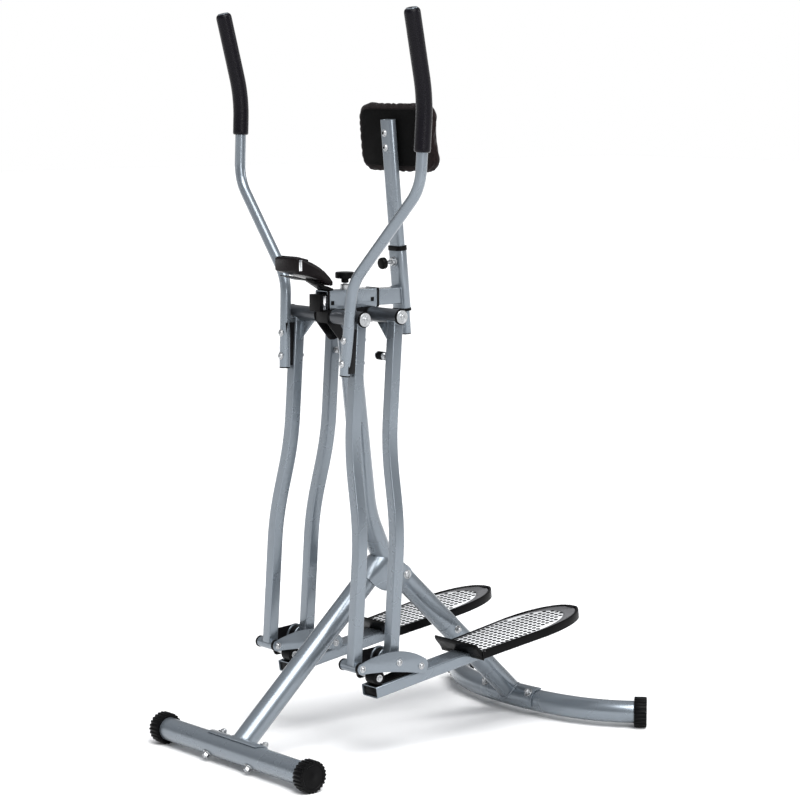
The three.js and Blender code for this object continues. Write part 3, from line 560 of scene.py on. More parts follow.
def build_front_base():
    stabilizer = lathe([(0, 0), (0, 24), (1, 25), (529, 25), (530, 24), (530, 0)], (-265, FRONT_Y, 34), X, 72)
    add("front_stabilizer_tube", stabilizer, SILVER, "frame", ["front_stabilizer"])
    for side, label in ((1, "left"), (-1, "right")):
        matrix = Matrix.Translation((side * FRONT_HALF, FRONT_Y, 34)) @ Matrix.Rotation(0 if side > 0 else math.pi, 4, "Z")
        add(f"{label}_front_ribbed_cap", ribbed_cap(matrix), MOULDED, "frame", [f"{label}_front_cap"])
    middle = Vector((0, FRONT_Y, 34))
    leg = lathe([(12, 0), (12, 25), (FRONT_LEG, 25), (FRONT_LEG, 0)], FRONT_FOOT, FRONT_UP, 72)
    add("front_leg_tube", leg, SILVER, "frame", ["front_leg"])
    saddle = sweep(saddle_section(180 - 42.7), [(-86, FRONT_Y, 34), (86, FRONT_Y, 34)], up=Z)
    add("front_saddle_plate", saddle, SILVER, "frame", bevel=0.9)
    add("front_leg_weld", saddle_weld(FRONT_FOOT, middle, FRONT_UP), SILVER, "frame")
    for side, label in ((1, "left"), (-1, "right")):
        centre = middle + X * side * 74
        bolt = nut(centre + FRONT_UP * 29.3, FRONT_UP, 13) + nut(centre - FRONT_UP * 24.6, -FRONT_UP, 13, 1.6, False)
        add(f"{label}_front_carriage_bolt", bolt, PLATED, "frame", [f"{label}_front_bolt"], bevel=0.3)


def build_rear_base():
    left, right = rear_centre_line(1), rear_centre_line(-1)
    line = list(reversed(right)) + left[1:]
    add("rear_stabilizer_tube", sweep(circle(25, 72), line, up=Z), SILVER, "frame", ["rear_stabilizer"], bevel=0.8,
        angle=60)
    for side, label in ((1, "left"), (-1, "right")):
        turn = rad(SWEEP) if side > 0 else math.pi - rad(SWEEP)
        matrix = Matrix.Translation((side * TIP.x, TIP.y, 34)) @ Matrix.Rotation(turn, 4, "Z")
        add(f"{label}_rear_ribbed_cap", ribbed_cap(matrix), MOULDED, "frame", [f"{label}_rear_cap"])
    middle = Vector((0, REAR_Y, 34))
    s = (REAR_FOOT.y - 135) / -REAR_UP.y
    leg = lathe([(12, 0), (12, 25), (s - 0.8, 25), (s - 0.4, 24.3), (s + 0.4, 24.3), (s + 0.8, 25), (REAR_LEG, 25),
                 (REAR_LEG, 0)], REAR_FOOT, REAR_UP, 72)
    add("rear_leg_tube", leg, SILVER, "frame", ["rear_leg"])
    short = [p for p in line if abs(p.x) <= 94]
    add("rear_saddle_plate", sweep(saddle_section(43.2), short, up=Z), SILVER, "frame", bevel=0.9)
    add("rear_leg_weld", saddle_weld(REAR_FOOT, middle, REAR_UP), SILVER, "frame")
    for side, label in ((1, "left"), (-1, "right")):
        near = min(left, key=lambda p: abs(p.x - 72))
        centre = Vector((side * 72, near.y, 34))
        bolt = nut(centre + REAR_UP * 29.3, REAR_UP, 13) + nut(centre - REAR_UP * 24.6, -REAR_UP, 13, 1.6, False)
        add(f"{label}_rear_carriage_bolt", bolt, PLATED, "frame", [f"{label}_rear_bolt"], bevel=0.3)
    lower = nut((24.6, 152, 216), X, 11) + nut((-24.6, 152, 216), -X, 11, 1.3, False)
    add("rear_leg_clamp_bolt", lower, PLATED, "frame", bevel=0.3)


# ---------------------------------------------------------------- hub, post and pivot bracket
PIVOT_Z, FRONT_PIVOT_Y, LINK_SPACING = 938, -195, 100


def rounded(outline, reach, steps=5):
    """An outline with its corners rounded off."""
    points = [Vector(p) for p in outline]
    result = []
    for i, p in enumerate(points):
        before, after = points[i - 1] - p, points[(i + 1) % len(points)] - p
        back = p + before.normalized() * min(reach, before.length * 0.48)
        ahead = p + after.normalized() * min(reach, after.length * 0.48)
        for k in range(steps + 1):
            t = k / steps
            q = (1 - t) ** 2 * back + 2 * t * (1 - t) * p + t * t * ahead
            result.append((q.x, q.y))
    return result


def hub_top(y):
    return 409 - math.tan(rad(15.15)) * (y + 79)


def build_hub():
    fold_up = Vector((0, -math.sin(rad(42.7)), math.cos(rad(42.7))))
    axis = [FRONT_FOOT + FRONT_UP * 380, FRONT_FOOT + FRONT_UP * 640]
    inner, outer, depth = 25.3, 28, 110
    hollow = ([(outer, -depth)] + arc(0, 0, outer, 0, 180, 40) + [(-outer, -depth), (-inner, -depth)]
              + arc(0, 0, inner, 180, 0, 40) + [(inner, -depth)])
    solid = [(outer - 0.2, -depth)] + arc(0, 0, outer - 0.2, 0, 180, 40) + [(0.2 - outer, -depth)]
    side = [(-91, 347), (-131.7, 391.1), (-110, hub_top(-110)), (-18, hub_top(-18)), (3, 380), (14, 371), (18, 357),
            (8, 347), (-10, 338), (-56, 330), (-70, 334)]
    add("hub_folded_bracket", sweep(hollow, axis, up=fold_up), SILVER, "frame", ["hub_bracket"], bevel=0.5, angle=40,
        keep=side_plate(rounded(side, 9), -60, 60))
    top = side_plate([(-112, hub_top(-112)), (-18, hub_top(-18)), (-18, hub_top(-18) - 3), (-112, hub_top(-112) - 3)],
                     -40, 40)
    add("hub_top_plate", top, SILVER, "frame", bevel=0.5, angle=40, keep=sweep(solid, axis, up=fold_up))
    bolt = bolt_head((28, 2, 360), X, 13) + nut((-28, 2, 360), -X, 13, 1.3, False)
    add("hub_pivot_bolt", bolt, PLATED, "frame", ["hub_bolt"], bevel=0.3)


def post_path(below=12):
    foot = Vector((0, -44 + math.tan(rad(24.5)) * below, 398 - below))
    bend = Vector((0, -91.7, 502.7))
    top = Vector((0, -91.7 - math.tan(rad(6.9)) * (948.4 - 502.7), 948.4))
    return bent([foot, bend, top], [39])


def build_post():
    add("upright_post_tube", sweep(circle(24, 72), post_path(), up=X), SILVER, "frame", ["upright_post"])
    slope = Vector((0, math.cos(rad(15.15)), -math.sin(rad(15.15))))
    centre = Vector((0, -46, hub_top(-46)))
    ring = []
    for k in range(72):
        a = TAU * k / 72
        ring.append(centre + X * 24.6 * math.cos(a) + slope * 25.6 * math.sin(a))
    add("post_foot_weld", bead(ring, radius=1.3), SILVER, "frame")


def build_pivot_bracket():
    outline = rounded([(-211, 951.7), (-211, 925), (-176, 884), (-160, 884), (-112, 920), (-78, 926), (-78, 951.7)], 5)
    shape = side_plate(outline, 17, 20) + side_plate(outline, -20, -17)
    shape += block(-19, 19, -210.5, -78.5, 948.6, 951.6) + block(-19, 19, -211, -208, 924, 950)
    # The bracket's black is partly its paint and partly painted shade for the shadow it sits in under the beam.
    add("pivot_bracket_plates", shape, BLACK_AND_SHADE, "frame", ["pivot_bracket"], bevel=0.6)
    for label, y in (("front", FRONT_PIVOT_Y), ("rear", FRONT_PIVOT_Y + LINK_SPACING)):
        shape = Shape()
        for side in (1, -1):
            profile = [(14, 0), (14, 7.5), (125.2, 7.5), (125.2, 14.2), (125.8, 14.6), (127.4, 14.6), (128, 14),
                       (128, 10.4), (127.5, 9.9), (127.5, 7.4), (128.1, 6.9), (128.4, 5.6), (131.2, 5.3),
                       (131.8, 4.6), (131.8, 2.8), (130.2, 2.6), (130.2, 0)]
            shape += lathe(profile, (0, y, PIVOT_Z), X * side, 40)
        add(f"{label}_pivot_axle", shape, PLATED, "frame", [f"{label}_axle"])
        boss = lathe([(0, 8), (0, 15), (3.2, 15), (3.6, 14.6), (3.6, 8)], (20, y, PIVOT_Z), X)
        boss += lathe([(0, 8), (0, 15), (3.2, 15), (3.6, 14.6), (3.6, 8)], (-20, y, PIVOT_Z), -X)
        add(f"{label}_axle_spacers", boss, BLACK_AND_SHADE, "frame")


# ---------------------------------------------------------------- beam, knobs and console
def hollow_tube(outer, inner, low, high):
    """A tube of any section standing along Z; both sections have the same number of points."""
    rings = [[Vector((x, y, z)) for x, y in section] for section, z in ((outer, low), (outer, high), (inner, high),
                                                                         (inner, low))]
    return skin(rings, loop=True)


ALONG_Y = Matrix(((1, 0, 0, 0), (0, 0, 1, 0), (0, -1, 0, 0), (0, 0, 0, 1)))


def square_tube(half_x, half_z, corner, wall, y0, y1, z):
    outer = rounded_rect(2 * half_x, 2 * half_z, corner)
    inner = rounded_rect(2 * (half_x - wall), 2 * (half_z - wall), max(0.4, corner - wall))
    return hollow_tube(outer, inner, y0, y1).at(Matrix.Translation((0, 0, z)) @ ALONG_Y)


def build_beam():
    holes = [block(-30, 30, y - s, y + s, z - s, z + s) for y, z, s in ((-197, 966, 4.5), (-89, 969, 4.5), (-170, 957, 2))]
    add("main_beam_tube", square_tube(20, 20, 3, 2, -211, -72, 972), SILVER, "frame", ["main_beam"], bevel=0.35,
        angle=50, cuts=holes)
    # Black plates just inside the wall holes: painted shade for the dark inside of the holes.
    plugs = Shape()
    for side in (1, -1):
        for y, z in ((-197, 966), (-89, 969)):
            plugs += block(side * 17.9, side * 19.3, y - 4.4, y + 4.4, z - 4.4, z + 4.4)
    add("beam_hole_shade_plates", plugs, MOULDED, "frame")
    boss = lathe([(-1, 5), (-1, 11.4), (0.6, 11.4), (1.6, 10), (9.4, 10), (11, 8.6), (11, 5)], (0, -148, 992), Z)
    add("beam_knob_boss", boss, PLATED, "frame")
    band = square_tube(20.9, 20.9, 3.4, 1.0, -211.2, -205, 972) + square_tube(20.9, 20.9, 3.4, 2.9, -76, -70.6, 972)
    add("beam_end_bands", band, MOULDED, "frame", bevel=0.3)
    knob = lathe([(-9, 0), (-9, 7), (-8, 8), (-2, 8), (0, 11), (0.6, 19.6), (1.6, 20.8), (3, 21), (11.6, 21),
                  (13.2, 20.2), (14, 18.2), (14, 7), (13.4, 6), (13.4, 0)], (0, -148, 1015), Z, 64)
    add("beam_knob_cap", knob, MOULDED, "beam_knob", ["beam_pull_knob"])
    stem = lathe([(0, 0), (0, 4), (25, 4), (25, 0)], (0, -148, 991), Z, 24)
    add("beam_knob_stem", stem, PLATED, "beam_knob")
    housing = block(-18.5, 18.5, -230, -211.3, 950.6, 983.4)
    housing += block(-18.5, 18.5, -230, -212, 949, 951.4) + block(-18.5, 18.5, -230, -212, 982.6, 985)
    add("sensor_box", housing, MOULDED, "frame", ["sensor_housing"], bevel=0.9)
    # A chrome band round the box's sides: a painted highlight standing in for the light caught near its corner.
    strip = block(-19.1, 19.1, -221.4, -214.2, 952.4, 981.6)
    add("sensor_highlight_strip", strip, (HIGHLIGHT_CHROME, "zinc_steel"), "frame", bevel=0.4)


CONSOLE_STATIONS = [  # Y, half width, underside, top
    (-306, 36.4, 1038, 1064.6), (-305.2, 37.6, 1036.6, 1066.2), (-303, 38.3, 1035.6, 1067.4),
    (-297, 38.5, 1033.6, 1067.4), (-284, 38.5, 1030, 1064.8), (-270, 38.5, 1026.2, 1060.8), (-256, 38.2, 1022, 1055.6), (-242, 37.4, 1018.2, 1048.2),
    (-228, 36, 1011.4, 1039.4), (-216, 34.4, 1005.8, 1028.4), (-208.4, 32.4, 1003.8, 1020.4),
    (-204.6, 30, 1004, 1016.4), (-203.2, 26, 1005.6, 1013.6)]


def console_ring(y, half, low, high, grow=0.0):
    """A softly squared section across the console."""
    points = []
    for k in range(64):
        a = TAU * k / 64
        c, s = math.cos(a), math.sin(a)
        dome = min(1, max(0, (y + 299) / 34)) if s > 0 else 0
        x = (half + grow) * math.copysign(abs(c) ** (0.2 + 0.3 * dome), c)
        z = (low + high) / 2 + ((high - low) / 2 + grow) * math.copysign(abs(s) ** (0.24 + 0.46 * dome), s)
        points.append(Vector((x, y, z)))
    return points


def console_at(y):
    """Half width, underside and top of the console at a place along it."""
    for (y0, *a), (y1, *b) in zip(CONSOLE_STATIONS, CONSOLE_STATIONS[1:]):
        if y0 <= y <= y1:
            t = (y - y0) / (y1 - y0)
            return [p + (q - p) * t for p, q in zip(a, b)]
    return CONSOLE_STATIONS[-1][1:]


def build_console():
    add("console_shell", skin([console_ring(*s) for s in CONSOLE_STATIONS]), (CONSOLE, "black_plastic"), "frame",
        ["console_case"], bevel=0.5, angle=50)
    # Chrome strips at the rounded front corners: a painted highlight where the corner catches the light.
    strips = Shape()
    for side in (1, -1):
        strips += block(side * 37.6, side * 38.75, -300, -292.4, 1039.6, 1062.8)
    add("console_corner_highlight_strips", strips, (HIGHLIGHT_CHROME, "zinc_steel"), "frame", bevel=0.5)
    ribs = Shape()
    for k in range(17):
        y = -258 + 3.1 * k
        half, low, _ = console_at(y)
        for side in (1, -1):
            ribs += block(side * (half - 1.5), side * (half + 0.5), y, y + 1.5, low + 2.6, low + 8.2)
    add("console_ribs", ribs, (CONSOLE, "black_plastic"), "frame")
    tilt = math.degrees(math.atan2(1066.3 - 1057.6, 34))
    window = prism(rounded_rect(54, 27, 4), 0, 1.4)
    place = Matrix.Translation((0, -282, 1063.6)) @ Matrix.Rotation(rad(-tilt), 4, "X")
    add("console_display", window.at(place), (GLASS, "black_plastic"), "frame", bevel=0.5)
    frame_shape = hollow_tube(rounded_rect(60, 33, 6), rounded_rect(54.6, 27.6, 4.2), -3, 1.6)
    add("console_display_bezel", frame_shape.at(place), (CONSOLE, "black_plastic"), "frame", bevel=0.5)
    face_up = Vector((0, 0.49614, 0.86824))
    ring = lathe([(-2, 6.9), (-2, 9.4), (0.5, 9.4), (1.1, 8.8), (1.1, 7.4), (0.6, 6.9)], (0, -242, 1048), face_up)
    add("console_key_ring", ring, (CONSOLE, "black_plastic"), "frame")
    key = lathe([(-4, 0), (-4, 6.4), (1.4, 6.4), (2.0, 5.8), (2.3, 4), (2.3, 0)], (0, -242, 1048), face_up)
    add("console_key_cap", key, (KEY, "console_key"), "console_key", ["console_button"])
    tab = side_plate([(-302, 1028.6), (-264, 1018.4), (-264, 1016.2), (-302, 1026.4)], -25, 25)
    add("console_under_tab", tab, MOULDED, "frame", bevel=0.5)
    mount = [(-209, 992.3), (-190, 992.3), (-190, 996.3), (-206, 1002), (-213, 1003.8), (-236, 1015.4),
             (-244, 1018.6), (-244, 1013)]
    add("console_mount_foot", side_plate(mount, -14, 14), MOULDED, "frame", ["console_mount"], bevel=0.9)


# ---------------------------------------------------------------- sliding beam, sleeve, post and chest pad
def place(x, y, z, tilt=0.0, mirror=1):
    """A frame turned about X, and mirrored across it for the right side."""
    turn = Matrix.Rotation(rad(tilt), 4, "X")
    return Matrix.Translation((x, y, z)) @ turn @ Matrix.Diagonal((mirror, 1, 1, 1))


PAD_FRAME = place(0, 10, 941, 5.5)
PAD = {"width": 240, "bottom": 296, "top": 445, "corner": 34, "front": 15.6, "foam": 32, "inset": 14, "swell": 5}


def oval_tube(width, depth, wall, low, high):
    return hollow_tube(flat_oval(width, depth), flat_oval(width - 2 * wall, depth - 2 * wall), low, high)


def build_pad_slide():
    add("slide_beam_tube", square_tube(17.6, 17.6, 2.6, 2, -180, -5.4, 972), SILVER, "slider", ["slide_beam"],
        bevel=0.35, angle=50)
    corners = [PAD_FRAME @ Vector((x, -13, z + 31.5)) for x, z in rounded_rect(36, 36, 3, 8)]
    ring = []
    for a, b in zip(corners, corners[1:] + corners[:1]):
        count = max(1, round((b - a).length / 2.2))
        ring += [a.lerp(b, k / count) for k in range(count)]
    add("slide_beam_weld", bead(ring, radius=1.7), SILVER, "slider")
    add("pad_sleeve_tube", oval_tube(46, 25, 2, 0, 135).at(PAD_FRAME), SILVER, "slider", ["pad_sleeve"], bevel=0.5,
        angle=50)
    collars = oval_tube(48.4, 27.4, 3.4, 129, 139) + oval_tube(48.4, 27.4, 3.4, -3, 3)
    add("sleeve_collars", collars.at(PAD_FRAME), MOULDED, "slider", bevel=0.7, angle=50)
    boss = lathe([(-1, 5), (-1, 10.4), (0.6, 10.4), (1.6, 9), (7.6, 9), (9, 7.8), (9, 5)],
                 PAD_FRAME @ Vector((0, -12.5, 106)), PAD_FRAME.to_3x3() @ -Y)
    add("sleeve_knob_boss", boss, PLATED, "slider")
    out = PAD_FRAME.to_3x3() @ -Y
    knob = lathe([(25, 0), (25, 6), (26, 7), (27.6, 7.4), (28.6, 10.6), (30.4, 12.6), (37.6, 12.8), (40, 11.6),
                  (41, 9.4), (41, 0)], PAD_FRAME @ Vector((0, -9.2, 106)), out, 48)
    add("sleeve_knob_cap", knob, MOULDED, "sleeve_knob", ["sleeve_pull_knob"])
    stem = lathe([(2.5, 0), (2.5, 4), (28, 4), (28, 0)], PAD_FRAME @ Vector((0, -9.2, 106)), out, 24)
    add("sleeve_knob_stem", stem, PLATED, "sleeve_knob")
    add("pad_post_tube", oval_tube(40, 20, 1.6, -52, 411).at(PAD_FRAME), SILVER, "pad", ["pad_post"], bevel=0.4,
        angle=50)
    plugs = prism(flat_oval(39.6, 19.6), -54.5, -50) + prism(flat_oval(36.4, 16.4), 400, 409.4)
    add("pad_post_plugs", plugs.at(PAD_FRAME), MOULDED, "pad", bevel=0.8, angle=50)
    bolts = bolt_head((-3, -9.8, 352), -Y, 10) + bolt_head((-3, -9.8, 383), -Y, 10)
    # Thin black discs on the two button heads: painted shade for their dark hex sockets.
    socket_shade = Shape()
    for z in (352, 383):
        socket_shade += lathe([(0, 0), (0, 3.4), (0.5, 3.2), (0.5, 0)], (-3, -14.4, z), -Y, 6)
    add("post_bolt_socket_shade", socket_shade.at(PAD_FRAME), MOULDED, "pad")
    add("pad_post_bolts", bolts.at(PAD_FRAME), PLATED, "pad", bevel=0.3)
    middle = (PAD["bottom"] + PAD["top"]) / 2
    inset = PAD["inset"]
    board = prism(rounded_rect(PAD["width"] - 2 * inset, PAD["top"] - PAD["bottom"] - 2 * inset, 20, 10), 10.3, 15.9)
    lift = Matrix.Translation((0, 0, middle)) @ Matrix(((1, 0, 0, 0), (0, 0, 1, 0), (0, 1, 0, 0), (0, 0, 0, 1)))
    add("pad_backing_panel", board.at(PAD_FRAME @ lift), (BACKING, "pad_backing"), "pad", ["pad_board"], bevel=1.5)


def edge_direction(x, z, half_x, half_z, corner):
    """How far a point is out from the pad's inner rectangle, and in which direction."""
    nearest = Vector((max(-half_x + corner, min(half_x - corner, x)), max(-half_z + corner, min(half_z - corner, z))))
    away = Vector((x, z)) - nearest
    return away.length, (away.normalized() if away.length > 1e-6 else Vector((0, 0)))


def build_chest_pad():
    """Swells a slab under cloth pressure, then draws in the seam and its puckers, in the pad's own frame."""
    half_x, half_z = PAD["width"] / 2 + PAD["swell"], (PAD["top"] - PAD["bottom"]) / 2
    start = 5
    rings = []
    for depth, inset in ((0, 9), (2.2, 3.4), (7, 0), (PAD["foam"] - 14, 0), (PAD["foam"] - 8, 3), (PAD["foam"] - 5, 9)):
        section = rounded_rect(2 * (half_x - start - inset), 2 * (half_z - start - inset), PAD["corner"] - inset, 10)
        rings.append([Vector((x, depth, z)) for x, z in section])
    pad = bare_object("chest_pad_cushion", skin(rings))
    remesh = pad.modifiers.new("remesh", "REMESH")
    remesh.mode = "VOXEL"
    remesh.voxel_size = 0.005
    bake(pad)
    rest = [v.co.copy() for v in pad.data.vertices]
    held = pad.vertex_groups.new(name="held")
    held.add([i for i, p in enumerate(rest) if p.y < 0.0025], 1.0, "REPLACE")
    cloth = pad.modifiers.new("cloth", "CLOTH")
    cloth.settings.use_pressure = True
    cloth.settings.uniform_pressure_force = 4
    cloth.settings.vertex_group_mass = "held"
    cloth.settings.effector_weights.gravity = 0
    cloth.point_cache.frame_start = 1
    cloth.point_cache.frame_end = 20
    for step in range(1, 21):
        scene.frame_set(step)
    graph = bpy.context.evaluated_depsgraph_get()
    swollen = [v.co.copy() for v in pad.evaluated_get(graph).data.vertices]
    pad.modifiers.clear()
    scene.frame_set(1)
    limit = 0.006
    for vertex, a, b in zip(pad.data.vertices, rest, swollen):
        push = b - a
        vertex.co = a + push * min(1, limit / max(push.length, 1e-9))
    pad.vertex_groups.clear()
    subdivide = pad.modifiers.new("subdivide", "SUBSURF")
    subdivide.levels = 1
    bake(pad)
    seam = 0.0075
    for vertex in pad.data.vertices:
        p = vertex.co
        reach, away = edge_direction(p.x, p.z, half_x * MM, half_z * MM, PAD["corner"] * MM)
        near_edge = min(1, max(0, (reach - 0.012) / 0.014))
        line = math.exp(-((p.y - seam) / 0.0022) ** 2)
        wide = math.exp(-((p.y - seam) / 0.010) ** 2)
        around = math.atan2(p.z * 1.6, p.x)
        pucker = 0.5 + 0.5 * math.sin(31 * around + 4 * noise.noise(p * 30))
        pull = near_edge * (0.0018 * line + 0.0026 * wide * pucker * pucker)
        lump = 0.0010 * noise.noise(p * 28 + Vector((3, 1, 7)))
        vertex.co = p - Vector((away.x, 0, away.y)) * pull
        vertex.co.y += lump * min(1, p.y / 0.012)
    low = min(v.co.y for v in pad.data.vertices)
    high = max(v.co.y for v in pad.data.vertices)
    across = max(abs(v.co.x) for v in pad.data.vertices)
    tall = max(abs(v.co.z) for v in pad.data.vertices)
    fit = Matrix.Diagonal((half_x * MM / across, PAD["foam"] * MM / (high - low), half_z * MM / tall, 1))
    lift = Matrix.Translation(Vector((0, PAD["front"], (PAD["bottom"] + PAD["top"]) / 2)) * MM)
    place_m = PAD_FRAME.copy()
    place_m.translation = PAD_FRAME.translation * MM
    pad.data.transform(place_m @ lift @ fit @ Matrix.Translation((0, -low, 0)))
    for polygon in pad.data.polygons:
        polygon.use_smooth = True
    dress(pad, FABRIC, "pad_fabric", "pad", ["chest_pad"])


# ---------------------------------------------------------------- swinging links and handlebars
LINK = {"half": 12.5, "lean": 3.77, "upper": 105, "lower": 147, "length": 729.6, "bend_top": 218, "bend_bottom": 508,
        "tuck": 4}
HANDLE_CORNERS = [(104, -231, 822), (114, -219, 1013), (308, -198, 1217), (312, -189, 1396), (320, -231, 1578)]
GRIP_LENGTH = {"left": 293, "right": 268}


def link_path():
    upper, lower, top, bottom = LINK["upper"], LINK["lower"], -LINK["bend_top"], -LINK["bend_bottom"]
    pull = 0.42 * (top - bottom)
    path = [Vector((upper, 0, -9))] + cubic((upper, 0, top), (upper, 0, top - pull), (lower, 0, bottom + pull),
                                            (lower, 0, bottom), 36)
    return path + [Vector((lower, 0, LINK["tuck"] - LINK["length"]))]


def top_weld():
    """The bead where the square tube meets the round top sleeve."""
    corners = rounded_rect(26.4, 26.4, 3, 3)
    points = []
    for a, b in zip(corners, corners[1:] + corners[:1]):
        a, b = Vector(a), Vector(b)
        count = max(1, round((b - a).length / 2.2))
        for k in range(count):
            p = a.lerp(b, k / count)
            points.append(Vector((LINK["upper"] + p.x, p.y, -math.sqrt(max(1, 16.3 ** 2 - p.y ** 2)))))
    return bead(points, radius=1.6)


def build_link(label, end, side, y, low_start, low_end):
    frame_matrix = place(0, y, PIVOT_Z, -LINK["lean"], side)
    body = f"{label}_{end}"
    tube = sweep(rounded_rect(25, 25, 3), link_path(), up=Y)
    add(f"{label}_{end}_link_tube", tube.at(frame_matrix), SILVER, body, [f"{label}_{end}_link"], bevel=0.5, angle=60)
    sleeve = lathe([(26.3, 13.6), (26.3, 15.4), (26.9, 16), (121.4, 16), (122, 15.4), (122, 13.6)], (0, 0, 0), X, 56)
    gusset = prism([(93.5, -14), (47.5, -14), (47.5, -17), (89, -58), (93.5, -58)], -1.5, 1.5)
    gusset = gusset.at(Matrix(((1, 0, 0, 0), (0, 0, 1, 0), (0, 1, 0, 0), (0, 0, 0, 1))))
    add(f"{label}_{end}_top_sleeve", sleeve.at(frame_matrix), DARK, body)
    add(f"{label}_{end}_gusset", gusset.at(frame_matrix), SILVER, body, bevel=0.5)
    add(f"{label}_{end}_top_weld", top_weld().at(frame_matrix), SILVER, body)
    bush = lathe([(23.6, 8), (23.6, 16.4), (24.2, 17), (25.6, 17), (26.1, 16.4), (26.1, 13.2), (122.2, 13.2),
                  (122.2, 16.4), (122.8, 17), (124.3, 17), (124.9, 16.4), (124.9, 8)], (0, 0, 0), X, 56)
    add(f"{label}_{end}_bush_liner", bush.at(frame_matrix), MOULDED, body, [f"{label}_{end}_bush"])
    centre = frame_matrix @ Vector((LINK["lower"], 0, -LINK["length"]))
    low = Matrix.Translation(centre)
    tube = lathe([(low_start, 6.4), (low_start, 11), (low_start + 0.6, 11.5), (low_end - 0.6, 11.5), (low_end, 11),
                  (low_end, 6.4)], (0, 0, 0), X, 48)
    add(f"{label}_{end}_low_sleeve", tube.at(low), SILVER, body)
    return frame_matrix, low


def walk(path, lengths):
    """Points at given distances along a path."""
    marks = [0]
    for a, b in zip(path, path[1:]):
        marks.append(marks[-1] + (b - a).length)
    points = []
    for want in lengths:
        k = max(i for i in range(len(path) - 1) if marks[i] <= want or i == 0)
        points.append(path[k].lerp(path[k + 1], (want - marks[k]) / (marks[k + 1] - marks[k])))
    return points


def build_handle(label, side):
    body = f"{label}_front"
    mirror = Matrix.Diagonal((side, 1, 1, 1))
    path = bent(HANDLE_CORNERS, [38, 38, 45], 18)
    add(f"{label}_handlebar_tube", sweep(circle(11.75, 48), path, up=Y).at(mirror), SILVER, body, [f"{label}_handlebar"],
        bevel=0.8, angle=60)
    total = sum((b - a).length for a, b in zip(path, path[1:]))
    length = GRIP_LENGTH[label]
    rim = [(0, 0.76), (0.6, 0.88), (1.8, 0.96), (3.6, 1.0)]
    dome = [(0, 0.42), (0.7, 0.62), (2.0, 0.78), (4.0, 0.90), (7.0, 0.975), (10, 1.0)]
    body_count = 44
    spans = [length * k / body_count for k in range(1, body_count)]
    spans = [s for s in spans if 4.5 < s < length - 11]
    marks = [(total - length + d, s) for d, s in rim] + [(total - length + s, 1.0) for s in spans]
    marks += [(total - d, s) for d, s in reversed(dome)]
    points = walk(path, [m for m, _ in marks])
    grip = sweep(circle(17, 56), points, up=Y, sizes=[s for _, s in marks])
    obj = add(f"{label}_foam_grip", grip.at(mirror), (FOAM, "grip_foam"), body, [f"{label}_hand_grip"])
    lean = place(0, FRONT_PIVOT_Y, PIVOT_Z, -LINK["lean"])
    behind = block(60, 150, -LINK["half"] - 0.3, 60, -200, 200).at(lean)
    down = (Vector(HANDLE_CORNERS[0]) - Vector(HANDLE_CORNERS[1])).normalized()
    start = Vector(HANDLE_CORNERS[0]) + down * 20
    rod = lathe([(0, 0), (0, 12.1), (240, 12.1), (240, 0)], start, -down, 48)
    channel = block(97, 117, -232, -200, 826, 918)
    add(f"{label}_handle_channel", channel.at(mirror), BLACK_AND_SHADE, body, [f"{label}_handle_saddle"], bevel=0.6, angle=50,
        cuts=[behind.at(mirror), rod.at(mirror)])
    plug = lathe([(-1, 0), (-1, 11), (0, 11.6), (1.6, 11.6), (2.4, 10.8), (2.4, 0)], HANDLE_CORNERS[0], down, 40)
    add(f"{label}_handle_foot_plug", plug.at(mirror), MOULDED, body)
    up = -down
    bolts = Shape()
    for z in (846, 895):
        t = (z - 822) / (1013 - 822)
        centre = Vector(HANDLE_CORNERS[0]).lerp(Vector(HANDLE_CORNERS[1]), t)
        forward = (-Y - up * up.dot(-Y)).normalized()
        bolts += bolt_head(centre + forward * 11.2, forward, 10)
        back = lean @ Vector((LINK["upper"], LINK["half"], (z - PIVOT_Z) / math.cos(rad(LINK["lean"]))))
        bolts += nut(back, lean.to_3x3() @ Y, 10)
    add(f"{label}_handle_bolts", bolts.at(mirror), PLATED, body, bevel=0.3)


# ---------------------------------------------------------------- pedal bracket, arm and pedal
ARM = {"tilt": 8.4, "y": 44, "z": -71, "half": 25, "height": 25, "length": 540}
BRACKET = {"outer": 26, "inner": -40, "plate": 3, "hinge_y": 161, "hinge_z": -16}
ROLLER = {"y": 51, "z": -28, "radius": 15, "start": -9, "end": 21.5}
PEDAL = {"start": 263, "length": 336, "half": 70, "deck": 30.3, "top": 33.5, "bottom": 14.3}


def outer_plate():
    start, end = (12 * math.cos(rad(285)), 12 * math.sin(rad(285))), (12 * math.cos(rad(100)), 12 * math.sin(rad(100)))
    y, z = BRACKET["hinge_y"], BRACKET["hinge_z"]
    lobe = arc(y, z, 19, -70, 50, 16)
    return (arc(0, 0, 12, 100, 285, 18) + curve(start, (80, -13), lobe[0], 18) + lobe
            + curve(lobe[-1], (100, 45), end, 18))


def inner_plate():
    return (arc(LINK_SPACING, 0, 25, 40, 110, 12) + arc(ROLLER["y"] - 14, 14, 6, 90, 180, 6)
            + arc(ROLLER["y"], ROLLER["z"], 11, 190, 275, 10)
            + arc(BRACKET["hinge_y"], BRACKET["hinge_z"], 14, -95, 40, 14))


def pedal_ring(inset, z, start=0.0, length=None):
    """The pedal's outline, blunt in front and rounded behind."""
    half = PEDAL["half"] - inset
    end = (PEDAL["length"] if length is None else length) - inset
    side = []
    front = inset + start
    for k in range(7):
        a = rad(90 - 15 * k)
        side.append((half - 8 + 8 * math.cos(rad(90) - a), front + 8 - 8 * math.sin(a)))
    bend = end * 0.565
    points = [Vector((half, bend, 0)), Vector((half, bend + 0.215 * end, 0)), Vector((half - 22, end, 0)),
              Vector((0, end, 0))]
    tail = cubic(*points, 24)
    side += [(p.x, p.y) for p in tail]
    other = [(-x, y) for x, y in reversed(side[:-1])]
    return [Vector((x, y, z)) for x, y in side + other]


